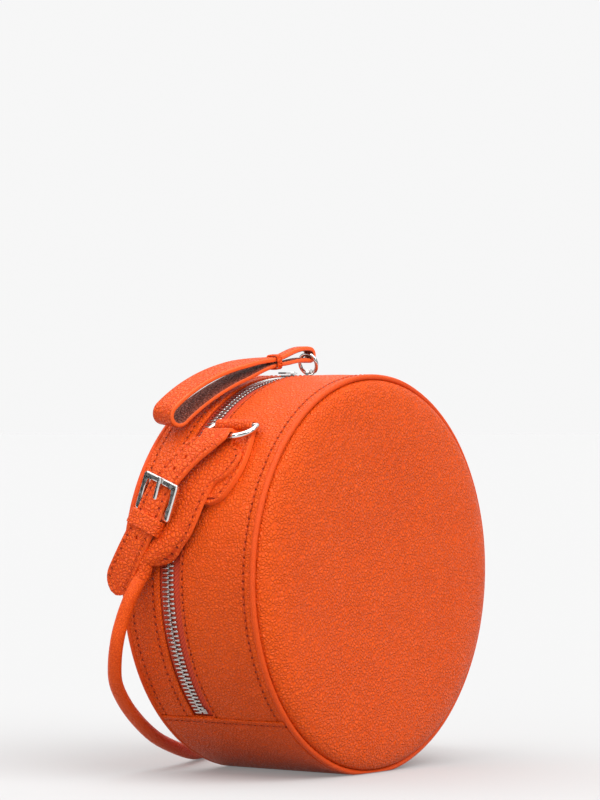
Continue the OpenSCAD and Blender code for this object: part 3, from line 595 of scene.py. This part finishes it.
piece("front_welt", welt(panel_s), [binding_leather], "bag", "edge_binding", "front_edge_binding")
back_welt = piece("back_welt", welt(-panel_s), [binding_leather], None, "edge_binding",
                  "back_edge_binding", "lower_back_binding")
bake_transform(back_welt)

# Zip. Two woven tapes sewn under the gusset edges, with a row of metal teeth clamped on each.
# It runs round the drum from one end of the base panel to the other.
tape_from, tape_to = -44.6, 224.6
tape_size = (0.449, 0.012, 0)
zip_h = -2.35 * mm
teeth_s = -12 * mm
weave, weave_in, weave_out = effect("tape_weave", ["Ribs"], ["Height"])
laid = node(weave, "ShaderNodeUVMap", uv_map="cut").outputs[0]
laid = node(weave, "ShaderNodeVectorMath", {0: laid, 1: tape_size}, operation="MULTIPLY").outputs[0]
twist = {"Vector": laid, "Scale": weave_in.outputs["Ribs"], "Distortion": 0.6}
slant = node(weave, "ShaderNodeTexWave", twist, bands_direction="DIAGONAL").outputs["Fac"]
feed(weave_out, {"Height": slant})
tape_cloth, tree, shader = new_material("zip_tape_cloth")
ribs = node(tree, "ShaderNodeGroup", {"Ribs": 320}, node_tree=weave).outputs["Height"]
feed(shader, {"Base Color": tint(tree, ribs, (0.47, 0.030, 0.008, 1), (0.64, 0.062, 0.016, 1)),
              "Roughness": 0.8, "Normal": relief(tree, ribs, 0.06 * mm)})


def zip_tape(name, s1, s2, body, replaced):
    def lay(u, v):
        return round_drum(tape_from + (tape_to - tape_from) * u, s1 + (s2 - s1) * v, zip_h)
    made = piece(name, cut_sheet(264, 8, lay), [tape_cloth], body, "zip_tape", replaced)
    wall(made, 0.6 * mm, rounding=0)


zip_tape("front_tape", -11.8 * mm, -0.9 * mm, "bag", "front_zip_tape")
zip_tape("back_tape", -21.1 * mm, -12.3 * mm, "back", "back_zip_tape")


def metal(name, colour, roughness):
    """Plated metal with faint streaks and a little unevenness."""
    made, tree, shader = new_material(name)
    place = node(tree, "ShaderNodeTexCoord").outputs["Object"]
    streak = node(tree, "ShaderNodeTexNoise", {"Vector": place, "Scale": 420, "Detail": 4}).outputs["Fac"]
    feed(shader, {"Base Color": tint(tree, streak, colour, [c * 0.8 for c in colour[:3]] + [1]),
                  "Roughness": ramp(tree, streak, 0.3, 0.7, roughness, roughness + 0.12),
                  "Metallic": 1,
                  "Normal": relief(tree, streak, 0.05 * mm, 0.25)})
    return made


nickel = metal("polished_nickel", (0.86, 0.85, 0.83, 1), 0.1)
zip_metal = metal("zip_metal", (0.66, 0.65, 0.63, 1), 0.16)


def dress(material, *names):
    """Gives a material to CAD nodes that stay as they are."""
    for name in names:
        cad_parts[name].data.materials.clear()
        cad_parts[name].data.materials.append(material)


dress(zip_metal, "zip_end_stops")
dress(nickel, "left_zip_slider", "left_zip_pull", "right_zip_slider", "puller_ring")
tooth_pitch = 2.25 * mm
tooth_angle = degrees(tooth_pitch / drum_r)
tooth_size = (2.5 * mm, 1.1 * mm, 3.9 * mm, 1)
row_angle = 266


def on_bag(angle, s, h, turn=0.0):
    """A place on the drum as a matrix: X out, Y upwards round it, Z to the front, turned about X."""
    drum = Matrix(((1, 0, 0, 0), (0, 0, -1, 0), (0, 1, 0, drum_z), (0, 0, 0, 1)))
    return (drum @ Matrix.Rotation(radians(angle), 4, "Z") @ Matrix.Translation((drum_r + h, 0, s))
            @ Matrix.Rotation(radians(-turn), 4, "X"))


def round_off(bm, geom, offset, segments, affect="EDGES"):
    """Rounds edges or corners."""
    bmesh.ops.bevel(bm, geom=geom, offset=offset, offset_type="OFFSET", segments=segments, profile=0.5,
                    affect=affect, material=-1)


def zip_teeth(name, way, body, replaced):
    """One row of teeth: round-shouldered bars clamped on the tape, which meet the other row's."""
    one = bmesh.new()
    bar = Matrix.Translation((0, 0, 1.45 * mm)) @ Matrix.Diagonal(tooth_size)
    bmesh.ops.create_cube(one, size=1, matrix=bar)
    round_off(one, one.verts[:] + one.edges[:], 0.42 * mm, 2)
    tooth = mesh_from("tooth", one)
    bm = bmesh.new()
    count = int(row_angle / tooth_angle)
    for i in range(count):
        angle = 90 + (i - count / 2 + (0.25 if way > 0 else 0.75)) * tooth_angle
        clamped = bmesh.new()
        clamped.from_mesh(tooth)
        bmesh.ops.transform(clamped, verts=clamped.verts,
                            matrix=on_bag(angle, teeth_s, zip_h) @ Matrix.Scale(way, 4, (0, 0, 1)))
        if way < 0:
            bmesh.ops.reverse_faces(clamped, faces=clamped.faces)
        add_to(bm, clamped)
    bpy.data.meshes.remove(tooth)
    piece(name, bm, [zip_metal], body, "zip_metal", replaced)


zip_teeth("front_teeth", 1, "bag", "front_zip_teeth")
zip_teeth("back_teeth", -1, "back", "back_zip_teeth")

# Lining and base board. Brown cotton twill glued inside each half, over a stiff fibre board.
# The cloth draws in over the board at the base.
twill, tree, shader = new_material("brown_twill")
place = node(tree, "ShaderNodeTexCoord").outputs["Object"]
rise = node(tree, "ShaderNodeTexWave", {"Vector": place, "Scale": 420, "Distortion": 1.2},
            bands_direction="DIAGONAL").outputs["Fac"]
feed(shader, {"Base Color": tint(tree, rise, (0.075, 0.024, 0.018, 1), (0.17, 0.06, 0.045, 1)),
              "Roughness": 0.85, "Normal": relief(tree, rise, 0.1 * mm)})
lining_face, lining_r = 34.4 * mm, 93.5 * mm
back_lining_low = 29.5 * mm


def lining(name, side, depth, body, replaced):
    """A cup of cloth: a round bottom and a wall that stops where the base panel begins."""
    points = [(lining_r * i / 10, lining_face) for i in range(11)]
    bm = profile(points + [(lining_r, lining_face - depth * i / 4) for i in range(1, 5)])
    spin_round(bm, 120)
    onto_drum(bm, side)
    for vert in bm.verts:
        out = Vector((vert.co.x, 0, vert.co.z - drum_z))
        low = -out.normalized().z if out.length else 0
        if out.length > 90 * mm and low > 0.7:
            vert.co.x, vert.co.z = vert.co.x * 0.985, drum_z + (vert.co.z - drum_z) * 0.975
    if side < 0:
        bmesh.ops.bisect_plane(bm, geom=bm.verts[:] + bm.edges[:] + bm.faces[:],
                               plane_co=(0, 0, back_lining_low), plane_no=(0, 0, -1), clear_outer=True)
    face_outwards(bm)
    made = piece(name, bm, [twill], body, "lining_cloth", replaced)
    wall(made, 0.4 * mm, inwards=0, rounding=0)


lining("front_lining_cloth", 1, 35 * mm, "bag", "front_lining")
lining("back_lining_cloth", -1, 12 * mm, "back", "back_lining")
board, tree, shader = new_material("fibre_board")
place = node(tree, "ShaderNodeTexCoord").outputs["Object"]
fibres = node(tree, "ShaderNodeTexNoise", {"Vector": place, "Scale": 900, "Detail": 5}).outputs["Fac"]
feed(shader, {"Base Color": tint(tree, fibres, (0.10, 0.06, 0.035, 1), (0.24, 0.16, 0.10, 1)),
              "Roughness": 0.9})
dress(board, "base_board")

# Hand loop. A strap of doubled leather, orange outside and dark inside, folded back on itself.
# Its narrowed neck passes through the ring of the zip's right slider and is held by a binding.
loop_lining = leather("loop_lining", (0.36, 0.085, 0.05, 1), (0.09, 0.016, 0.010, 1), 600, 0.4 * mm, 0.5,
                      crease_shade=0.8, gloss=0.15)
loop_t = 2.3 * mm
loop_turn = radians(15)
drum_mm = drum_r / mm


def strap_piece(name, bm, body, replaced, thickness, rounding, slot="strap_leather", inside=None):
    """Strap leather whose edges are painted a lighter orange, partly as a painted highlight, with another
    leather inside where one is named.
    """
    face_outwards(bm)
    made = piece(name, bm, [strap_leather, edge_paint_and_highlight, inside or strap_leather], body, slot, replaced)
    wall(made, thickness, inwards=0, back_material=2 if inside else 0, edge_material=1, rounding=rounding)


def off_drum(angle, out, along, s):
    """A place in millimetres: out of the drum's axis at an angle, along the drum there, to the front."""
    turn = radians(angle)
    p = Vector((out * cos(turn) - along * sin(turn), -s, out * sin(turn) + along * cos(turn))) * mm
    p.z += drum_z
    return p


def ease(t):
    """Goes softly from 0 to 1 as t does, and stays at each end."""
    t = min(max(t, 0), 1)
    return t * t * (3 - 2 * t)


def loop_point(a, h, w, body):
    """A place on the loop: the way along it, the height and the way across, in millimetres."""
    angle, s, turn = (115.174, -19.357, loop_turn) if body else (81, -11, 0)
    bend = a / drum_mm * cos(turn)
    out, way = (drum_mm + h) * cos(bend), (drum_mm + h) * sin(bend) / cos(turn)
    return off_drum(angle, out, way * cos(turn) + w * sin(turn), s - way * sin(turn) + w * cos(turn))


def loop_line():
    """Centre, side and half width along the closed loop, from the binding round the fold and back."""
    body_half, body_w, neck_w = 30.575, 7.25, 2.75
    lie, layer = 7, 1.15
    fold_h, fold_r = 9.3, 4.85
    ring_a, ring_h, ring_r, neck_end = 3.646, 10.717, 2.812, 27.726
    line = []
    steps = 26

    def add(a, h, half, body):
        centre = loop_point(a, h, 0, body)
        line.append((centre, (loop_point(a, h, 1, body) - centre).normalized(), half * mm))

    for way in (1, -1):
        if way == -1:
            for i in range(1, 14):
                w = pi / 2 - pi * i / 14
                add(body_half + fold_r * cos(w), fold_h + fold_r * sin(w), body_w, True)
        for i in range(steps + 1):
            t = (i if way == 1 else steps - i) / steps
            a = body_half * (2 * t - 1)
            mid = lie + (fold_h - lie) * (1 - cos(pi * t)) / 2
            half = layer + (fold_r - layer) * sin(pi / 2 * t)
            add(a, mid + way * half, neck_w + (body_w - neck_w) * ease((a + body_half) / 22), True)
    for way in (-1, 1):
        if way == 1:
            for i in range(1, 12):
                w = -pi / 2 + pi * i / 12
                add(ring_a - ring_r * cos(w), ring_h + ring_r * sin(w), neck_w, False)
        for i in range(11):
            t = (i if way == -1 else 10 - i) / 10
            a = neck_end + (ring_a - neck_end) * t
            mid = lie + (ring_h - lie) * (1 - cos(pi * t)) / 2
            half = layer + (ring_r - layer) * sin(pi / 2 * t)
            if 0 < i or way == 1:
                add(a, mid + way * half, neck_w, False)
    return line[:-1]


# The neck meets the broad part at both ends of the line and at place 66, and is evened out there
loop_way = loop_line()
neck_join = 66
for _ in range(3):
    count = len(loop_way)
    smoothed = list(loop_way)
    for i in range(count):
        if i < 3 or i > count - 4 or abs(i - neck_join) < 4:
            before, here, after = loop_way[i - 1], loop_way[i], loop_way[(i + 1) % count]
            smoothed[i] = ((before[0] + here[0] * 2 + after[0]) / 4,
                           (before[1] + here[1] * 2 + after[1]).normalized(),
                           (before[2] + here[2] * 2 + after[2]) / 4)
    loop_way = smoothed


def lay_loop(u, v):
    count = len(loop_way)
    t = u * count
    i = int(t) % count
    j, k = (i + 1) % count, t - int(t)
    centre = loop_way[i][0].lerp(loop_way[j][0], k)
    side = loop_way[i][1].lerp(loop_way[j][1], k)
    half = loop_way[i][2] * (1 - k) + loop_way[j][2] * k
    return centre + side * half * (2 * v - 1)


loop_bm = cut_sheet(2 * len(loop_way), 8, lay_loop, closed=True)
strap_piece("hand_loop_strap", loop_bm, "loop", "hand_loop", loop_t, 0.7 * mm, inside=loop_lining)

# Binding of the loop. A narrow band of the leather, glued and pressed round both layers where the
# loop's neck begins.


def band(name, place, height, width, length, thickness, body, replaced):
    """A closed band round a strap, in its own frame: X out, Y along the strap, Z across it."""
    def lay(u, v):
        w = 2 * pi * u
        x = (height - thickness) / 2 * abs(cos(w)) ** 0.42 * (1 if cos(w) > 0 else -1)
        z = (width - thickness) / 2 * abs(sin(w)) ** 0.42 * (1 if sin(w) > 0 else -1)
        return place @ Vector((x, (v - 0.5) * length, z))
    strap_piece(name, cut_sheet(72, 8, lay, closed=True), body, replaced, thickness, 0.4 * mm)


band("loop_band", on_bag(97.55, -11 * mm, 7 * mm, 7.5), 7.4 * mm, 8.3 * mm, 3 * mm, 0.8 * mm, "loop",
     "loop_binding")

# Leather tabs of the D-rings. Each is folded round the straight bar of its ring, glued to itself,
# and sewn flat to the front gusset; its thick edge is painted a lighter orange, partly as a painted
# highlight.
tab_angle, tab_w, bar_h = 134.0, 21 * mm, 3.2 * mm
left_ring_s, right_ring_s = 8.5 * mm, 14 * mm


def mirrored(p, right):
    """A place on the bag's left side, or the same place on its right side."""
    return Vector((-p.x, p.y, p.z)) if right else p


def ring_tab(name, ring_s, right, replaced):
    slab, lift, eye, last, inset = 3.1 * mm, 0.15 * mm, 2.3 * mm, 42 * mm, 2.3 * mm
    flare = 0 if right else 4 * mm

    def half_width(x, front=False):
        narrowing = min(max((x / last - 0.45) / 0.55, 0), 1)
        left = (last - x) / (4 * mm)
        round_end = 1 if left > 1 else sqrt(max(0.12, 1 - (1 - left) ** 2))
        half = tab_w / 2 * (1 - 0.42 * narrowing * narrowing) * round_end
        return half + (flare * sin(pi * x / last) if front else 0)

    def at_place(x, h, y):
        return mirrored(round_drum(tab_angle + degrees(x / drum_r), ring_s + y, h), right)

    def lay(u, v):
        x = last * u
        return at_place(x, lift + slab / 2, half_width(x, v > 0.5) * (2 * v - 1))

    def lay_eye(u, v):
        w = 2 * pi * u
        return at_place(-eye * sin(w), bar_h + eye * cos(w), tab_w / 2 * (2 * v - 1))

    def seam_at(u, v):
        side = min(v, 1 - v) * 2 * half_width(u * last, v > 0.5)
        return u * last, min(side, (1 - u) * last) - inset

    bm = cut_sheet(46, 16, lay)
    mark_seams(bm, seam_at)
    strap_piece(name, bm, "bag", replaced, slab, 0.7 * mm, slot="orange_leather")
    bm = cut_sheet(32, 14, lay_eye, closed=True)
    strap_piece(name + "_eye", bm, "bag", replaced, 1.5 * mm, 0.5 * mm, slot="orange_leather")
    outline = [(x * mm, half_width(x * mm, True) - inset) for x in range(3, 40)]
    outline += [(x * mm, inset - half_width(x * mm)) for x in range(39, 2, -1)]
    sew("bag", [(at_place(x, lift + slab, y), at_place(x, 1, y) - at_place(x, 0, y)) for x, y in outline])


ring_tab("left_tab", left_ring_s, False, "left_ring_tab")
ring_tab("right_tab", right_ring_s, True, "right_ring_tab")

# D-rings. Round nickel-plated wire bent to a D and closed in its straight bar, which lies in the
# eye of the tab; the strap end hangs on the bow.


def d_ring(name, ring_s, right, replaced):
    half, reach, corner, wire = 12.9 * mm, 11 * mm, 7.5 * mm, 1.4 * mm
    path = [(half - 0.6 * mm, 0), (half, 0.9 * mm)]
    for a in range(0, 91, 6):
        path.append((half - corner + corner * cos(radians(a)), reach - corner + corner * sin(radians(a))))
    path += [(-z, y) for z, y in reversed(path)]
    path += [(-half + 1.2 * mm + i * (2 * half - 2.4 * mm) / 8, 0) for i in range(9)]
    place = on_bag(tab_angle, ring_s, bar_h) @ Matrix.Rotation(radians(-17.82), 4, "Z")

    def lay(u, v):
        i = round(u * len(path))
        z, y = path[i % len(path)]
        z1, y1 = path[(i - 1) % len(path)]
        z2, y2 = path[(i + 1) % len(path)]
        ahead = Vector((0, y2 - y1, z2 - z1)).normalized()
        out = Vector((1, 0, 0))
        w = 2 * pi * v
        p = place @ (Vector((0, y, z)) + (out * cos(w) + ahead.cross(out) * sin(w)) * wire)
        return mirrored(p, right)

    bm = cut_sheet(len(path), 20, lay, closed=True)
    face_outwards(bm)
    piece(name, bm, [nickel], "bag", "nickel", replaced)


d_ring("left_d_wire", left_ring_s, False, "left_d_ring")
d_ring("right_d_wire", right_ring_s, True, "right_d_ring")

# Left strap end. One piece of doubled leather: a broad paddle that lies on the bag and rolls up into
# the cord at its lower end, a fold round the D-ring, and a tongue that comes back through the
# buckle and the keeper to a rounded tail. Its outlines are in millimetres.
strap_angle, fold_angle = 154.7, 139.83
strap_s = {False: -13, True: 14}
strap_t = 1.8 * mm
strap_seam = 2.1 * mm
half_t = strap_t / 2 / mm
paddle_front = [(-27, 25.8), (-22.8, 26.4), (-19.8, 32.4), (-16.8, 34.2), (-12.6, 33.6), (-6, 30),
                (-1.8, 24.6), (4.8, 22.2), (15, 19.8), (22.8, 16.8), (27.6, 12.6), (32.4, 7.2),
                (35.4, 0.6), (37.2, -4.2)]
paddle_back = [(-27, 11.4), (-20, 10.2), (-13.8, 8.4), (-6, 3.6), (4.8, -1.8), (15, -5.4), (22.8, -9),
               (30, -12), (37.2, -10.8)]
tongue_middle = [(-24, 18.9), (-16.2, 10.5), (0, 0), (16.2, -5.4), (22.8, -8.4), (36, -15.5), (50.4, -24)]
offsets = [j / 8 - 1 for j in range(17)]


def even(points, count):
    """That many places at even distances along a smooth line through flat points."""
    line = through([Vector((x, y, 0)) for x, y in points], 12)
    ways = [0]
    for p, q in zip(line, line[1:]):
        ways.append(ways[-1] + (q - p).length)
    spots = []
    j = 0
    for i in range(count):
        want = ways[-1] * i / (count - 1)
        while j < len(ways) - 2 and ways[j + 1] < want:
            j += 1
        spots.append(line[j].lerp(line[j + 1], (want - ways[j]) / (ways[j + 1] - ways[j])))
    return spots


def strap_place(x, y, h, right=False):
    """Over the drum at a strap end: millimetres round it, to the front, and out."""
    out = sqrt((drum_mm + h) ** 2 - x * x)
    return mirrored(off_drum(strap_angle, out, x, strap_s[right] + y), right)


def curled(low, high, curl, right=False):
    """One row across the flat leather, which curls down at its edges as it comes to the cord."""
    flat_h, rolled_rise = 4.2, 3.75
    beta = radians(90) * curl
    middle, half = (low + high) / 2, (high - low).length / 2
    r = half / sin(beta) if curl else 0
    row = []
    for offset in offsets:
        shift = r * sin(beta * offset) / half if curl else offset
        p = middle.lerp(high, shift) if shift >= 0 else middle.lerp(low, -shift)
        drop = r * (1 - cos(beta * offset))
        row.append(strap_place(p.x, p.y, flat_h + rolled_rise * curl - drop, right))
    return row


def sleeve(row, cord, ahead, lengths):
    """Rows that roll the last curled row up to a closed tube round the start of the cord."""
    tube_r = 2.46 * mm
    side = (row[-1] - row[0]).normalized()
    centre = (row[0] + row[-1]) / 2
    out = (row[8] - centre).normalized()
    r = (row[-1] - row[0]).length / 2
    end_side = (side - ahead * side.dot(ahead)).normalized()
    end_out = (out - ahead * out.dot(ahead) - end_side * out.dot(end_side)).normalized()
    rows = []
    for length in lengths:
        soft = ease(length)
        c = centre.lerp(cord, min(length, 1)) + ahead * (2.5 * mm * max(0, length - 1))
        n = out.lerp(end_out, soft).normalized()
        s = side.lerp(end_side, soft).normalized()
        beta = radians(90 + 84 * soft)
        size = r + (tube_r - r) * soft
        rows.append([c + (n * cos(beta * offset) + s * sin(beta * offset)) * size for offset in offsets])
    return rows


def fold_rows(low, high, right=False):
    """Rows round the far side of the D-ring, from the flat leather below up to the layer above."""
    bow_out, bend_r = 103.1, 2.9
    middle, half = strap_s[right] + (low + high) / 2, (high - low) / 2
    made = []
    for w in range(-82, 83, 12):
        out, along = bow_out + bend_r * sin(radians(w)), -bend_r * cos(radians(w))
        made.append([mirrored(off_drum(fold_angle, out, along, middle + half * offset), right)
                     for offset in offsets])
    return made


def tongue_height(x):
    """The tongue lies on a round of its own, which sinks towards the drum from fold to buckle."""
    centre, r = 8.596, 96.504
    past = radians(strap_angle - fold_angle) + x / 106
    return centre * cos(past) + sqrt(r ** 2 - (centre * sin(past)) ** 2) - drum_mm


def over_rows(rows):
    """Lays a sheet over rows of points."""
    def lay(u, v):
        i, j = u * (len(rows) - 1), v * (len(rows[0]) - 1)
        a, b = min(int(i + 1e-4), len(rows) - 2), min(int(j + 1e-4), len(rows[0]) - 2)
        near = rows[a][b].lerp(rows[a][b + 1], j - b)
        return near.lerp(rows[a + 1][b].lerp(rows[a + 1][b + 1], j - b), i - a)
    return lay


def strap_sheet(name, rows, holes, seams, body, replaced):
    """Sews up a strap end from its rows: the sheet, its punched holes, its edges and its stitches."""
    bm = cut_sheet(len(rows) - 1, 16, over_rows(rows))
    ways = [0]
    for row, later in zip(rows, rows[1:]):
        ways.append(ways[-1] + (later[8] - row[8]).length)
    sewn = [any(start <= i < end for start, end in seams) for i in range(len(rows))]

    def seam_at(u, v):
        i = round(u * (len(rows) - 1))
        width = (rows[i][-1] - rows[i][0]).length
        return ways[i], min(v, 1 - v) * width - strap_seam if sewn[i] else 9 * mm

    mark_seams(bm, seam_at)
    for hole, radius in holes:
        middle = min(bm.verts, key=lambda vert: (vert.co - hole).length).co.copy()
        cut_out = [face for face in bm.faces if (face.calc_center_median() - middle).length < radius]
        bmesh.ops.delete(bm, geom=cut_out, context="FACES")
        for vert in bm.verts:
            if vert.is_boundary and (vert.co - middle).length < 2 * radius:
                vert.co = middle + (vert.co - middle).normalized() * radius
    strap_piece(name, bm, body, replaced, strap_t, 0.5 * mm)
    for start, end in seams:
        for near, far in ((0, -1), (-1, 0)):
            line = []
            for i in range(start, end):
                row = rows[i]
                width = (row[-1] - row[0]).length
                along = rows[min(i + 1, len(rows) - 1)][8] - rows[max(i - 1, 0)][8]
                out = (row[-1] - row[0]).cross(along).normalized()
                if out.dot(row[8] - Vector((0, row[8].y, drum_z))) < 0:
                    out = -out
                crown = (row[8] - row[0].lerp(row[-1], 0.5)).dot(out)
                rise = crown * (1 - (1 - 2 * strap_seam / width) ** 2)
                line.append((row[near].lerp(row[far], strap_seam / width) + out * (strap_t / 2 + rise), out))
            sew(body, line)


paddle_rows = 60
rows = []
for low, high in zip(even(paddle_back, paddle_rows), even(paddle_front, paddle_rows)):
    rows.append(curled(low, high, ease(((low.x + high.x) / 2 - 17) / 20.2)))
rows += sleeve(rows[-1], route[0], heading(route, 0), [k / 6 for k in range(1, 7)] + [1.6, 2.2])
rows.reverse()
sleeve_count = len(rows) - paddle_rows
rows += fold_rows(11.65, 26.15)
tongue_start = len(rows)
tongue_rows, tongue_length, tongue_half, tail = 68, 78, 7.25, 7
middle = even(tongue_middle, tongue_rows)
for i, p in enumerate(middle):
    ahead = heading(middle, i)
    side = Vector((-ahead.y, ahead.x, 0))
    if i < 8:
        side = (side * (i / 8) + Vector((0, 1, 0)) * (1 - i / 8)).normalized()
    left = (tongue_rows - 1 - i) / tongue_rows * tongue_length
    half = tongue_half * (1 if left > tail else sqrt(max(0.05, 1 - (1 - left / tail) ** 2)))
    across = [p + side * half * offset for offset in offsets]
    rows.append([strap_place(q.x, q.y, tongue_height(q.x) + half_t) for q in across])
punched = []
for x, y, r in ((-6.8, 4.4, 0.95), (-12.6, 8.2, 0.95), (26.5, -10.4, 0.95), (8.2, -2.9, 1.4)):
    punched.append((strap_place(x, y, tongue_height(x) + half_t), r * mm))
sewn_rows = [(sleeve_count + 4, tongue_start - 14), (tongue_start + 3, len(rows) - 4)]
strap_sheet("left_strap_leather", rows, punched, sewn_rows, "bag", "left_strap_end")

# Right strap end, out of the photograph's sight. One strap that rolls up into the cord, folded round
# its D-ring and sewn flat to itself.
right_half = 7.15
flat_rows = 40
rows = []
for i in range(flat_rows):
    x = -26 + 52 * i / (flat_rows - 1)
    half = right_half if x < 10.4 else right_half - 3.85 * (x - 10.4) / 15.6
    rows.append(curled(Vector((x, -half, 0)), Vector((x, half, 0)), ease((x - 12) / 14), right=True))
rows += sleeve(rows[-1], route[-1], -heading(route, len(route) - 1),
               [k / 8 for k in range(1, 9)] + [1.6, 2.2])
rows.reverse()
sleeve_count = len(rows) - flat_rows
rows += fold_rows(-right_half, right_half, right=True)
upper_start = len(rows)
for i in range(1, 29):
    t = i / 28
    h = 5.2 + half_t + 3.9 * cos(pi / 2 * min(1, 2 * t)) ** 2
    half = right_half if t < 0.9 else right_half - 2.2 * ((t - 0.9) / 0.1) ** 2
    rows.append([mirrored(round_drum(fold_angle + 20 * t, (strap_s[True] + half * offset) * mm, h * mm), True)
                 for offset in offsets])
sewn_rows = [(sleeve_count + 16, upper_start - 14), (upper_start + 12, len(rows) - 2)]
strap_sheet("right_strap_leather", rows, [], sewn_rows, "bag", "right_strap_end")

# Buckle. A nickel-plated frame with flat, bevelled sides, which leans from the bar under the tongue
# up over it, and a prong that turns on that bar and comes up through a hole of the tongue.
bar_out, bar_up = 5.779, 15
reach, rim_w, rim_t = 16.159 * mm, 2.9 * mm, 2.3 * mm
paddle_place = on_bag(strap_angle, strap_s[False] * mm, 0, 20)
seat = (paddle_place @ Matrix.Translation((bar_out * mm, bar_up * mm, 0)) @ Matrix.Rotation(pi, 4, "Z")
        @ Matrix.Rotation(radians(21.829), 4, "Z") @ Matrix.Scale(-1, 4, (1, 0, 0)))
frame_bm = bmesh.new()
bmesh.ops.create_grid(frame_bm, x_segments=1, y_segments=1, size=0.5)
bmesh.ops.transform(frame_bm, verts=frame_bm.verts, matrix=Matrix.Translation((0, 7.95 * mm, 0))
                    @ Matrix.Diagonal((23.5 * mm, reach + 2.3 * mm, 1, 1)))
round_off(frame_bm, frame_bm.verts[:], 1.6 * mm, 4, "VERTICES")
bmesh.ops.inset_region(frame_bm, faces=frame_bm.faces[:], thickness=rim_w, use_boundary=True,
                       use_even_offset=True)
frame_bm.faces.ensure_lookup_table()
hollow = max(frame_bm.faces, key=lambda face: len(face.verts))
bmesh.ops.delete(frame_bm, geom=[hollow], context="FACES")
raised = bmesh.ops.extrude_face_region(frame_bm, geom=frame_bm.faces[:])["geom"]
upper = [g for g in raised if isinstance(g, bmesh.types.BMVert)]
bmesh.ops.translate(frame_bm, verts=upper, vec=(0, 0, rim_t))
bmesh.ops.translate(frame_bm, verts=frame_bm.verts, vec=(0, 0, -rim_t / 2))
face_outwards(frame_bm)
sharp = [edge for edge in frame_bm.edges if edge.calc_face_angle(0) > radians(50)]
round_off(frame_bm, sharp, 0.55 * mm, 2)
bmesh.ops.transform(frame_bm, verts=frame_bm.verts,
                    matrix=seat @ Matrix(((0, 0, 1, 0), (0, 1, 0, 0), (1, 0, 0, 0), (0, 0, 0, 1))))
face_outwards(frame_bm)
buckle = piece("buckle_rim", frame_bm, [nickel], "bag", "nickel", "buckle_frame")
buckle.data.shade_flat()

prong_bm = bmesh.new()
bmesh.ops.create_cube(prong_bm, size=1, matrix=Matrix.Translation((0, 0.5, 0)))
for vert in prong_bm.verts:
    x, y, z = vert.co
    thin = 0.72 if y > 0.5 else 1
    vert.co = Vector((x * 1.35 * mm * thin, y * (reach + 1.2 * mm), z * 2.8 * mm * thin))
round_off(prong_bm, prong_bm.edges[:], 0.42 * mm, 3)
bmesh.ops.transform(prong_bm, verts=prong_bm.verts, matrix=Matrix.Translation((0.85 * mm, 0.3 * mm, 0))
                    @ Matrix.Rotation(radians(-3.4), 4, "Z"))
bmesh.ops.create_cone(prong_bm, cap_ends=True, segments=24, radius1=1.45 * mm, radius2=1.45 * mm,
                      depth=2.3 * mm)
bmesh.ops.transform(prong_bm, verts=prong_bm.verts, matrix=seat)
face_outwards(prong_bm)
piece("prong_pin", prong_bm, [nickel], "prong", "nickel", "buckle_prong")

# Buckle strap. A short strip sewn to the paddle and folded round the bar of the buckle.
# It is drawn in millimetres, out of the paddle and up it.
strip_line = [(5.5, 4 + 11 * i / 9) for i in range(9)]
for a in range(-80, 81, 16):
    strip_line.append((bar_out - 0.28 + 1.1 * sin(radians(a)), bar_up + 1.1 * cos(radians(a))))
strip_rows = [[paddle_place @ (Vector((x, y, z)) * mm) for z in (-4, -2, 0, 2, 4)] for x, y in strip_line]
strap_piece("buckle_strip", cut_sheet(len(strip_rows) - 1, 4, over_rows(strip_rows)), "bag", "buckle_strap",
            0.6 * mm, 0.2 * mm)

# Keeper. A closed band of the leather round the tongue's tail, with its lower side on the paddle.
# Its edges are painted as the strap's are, a lighter orange, partly as a painted highlight.
band("tail_keeper", on_bag(165.39, -20.08 * mm, 8.3 * mm, 22), 6.15 * mm, 19.9 * mm, 7.3 * mm, 1.2 * mm,
     "bag", "strap_keeper")

# Threads. The stitches of every seam, gathered for each body: thread in the colour of the
# leather, whose rows were laid with each piece.
for body, bm in threads.items():
    piece(body + "_threads", bm, [thread], body, "orange_leather")
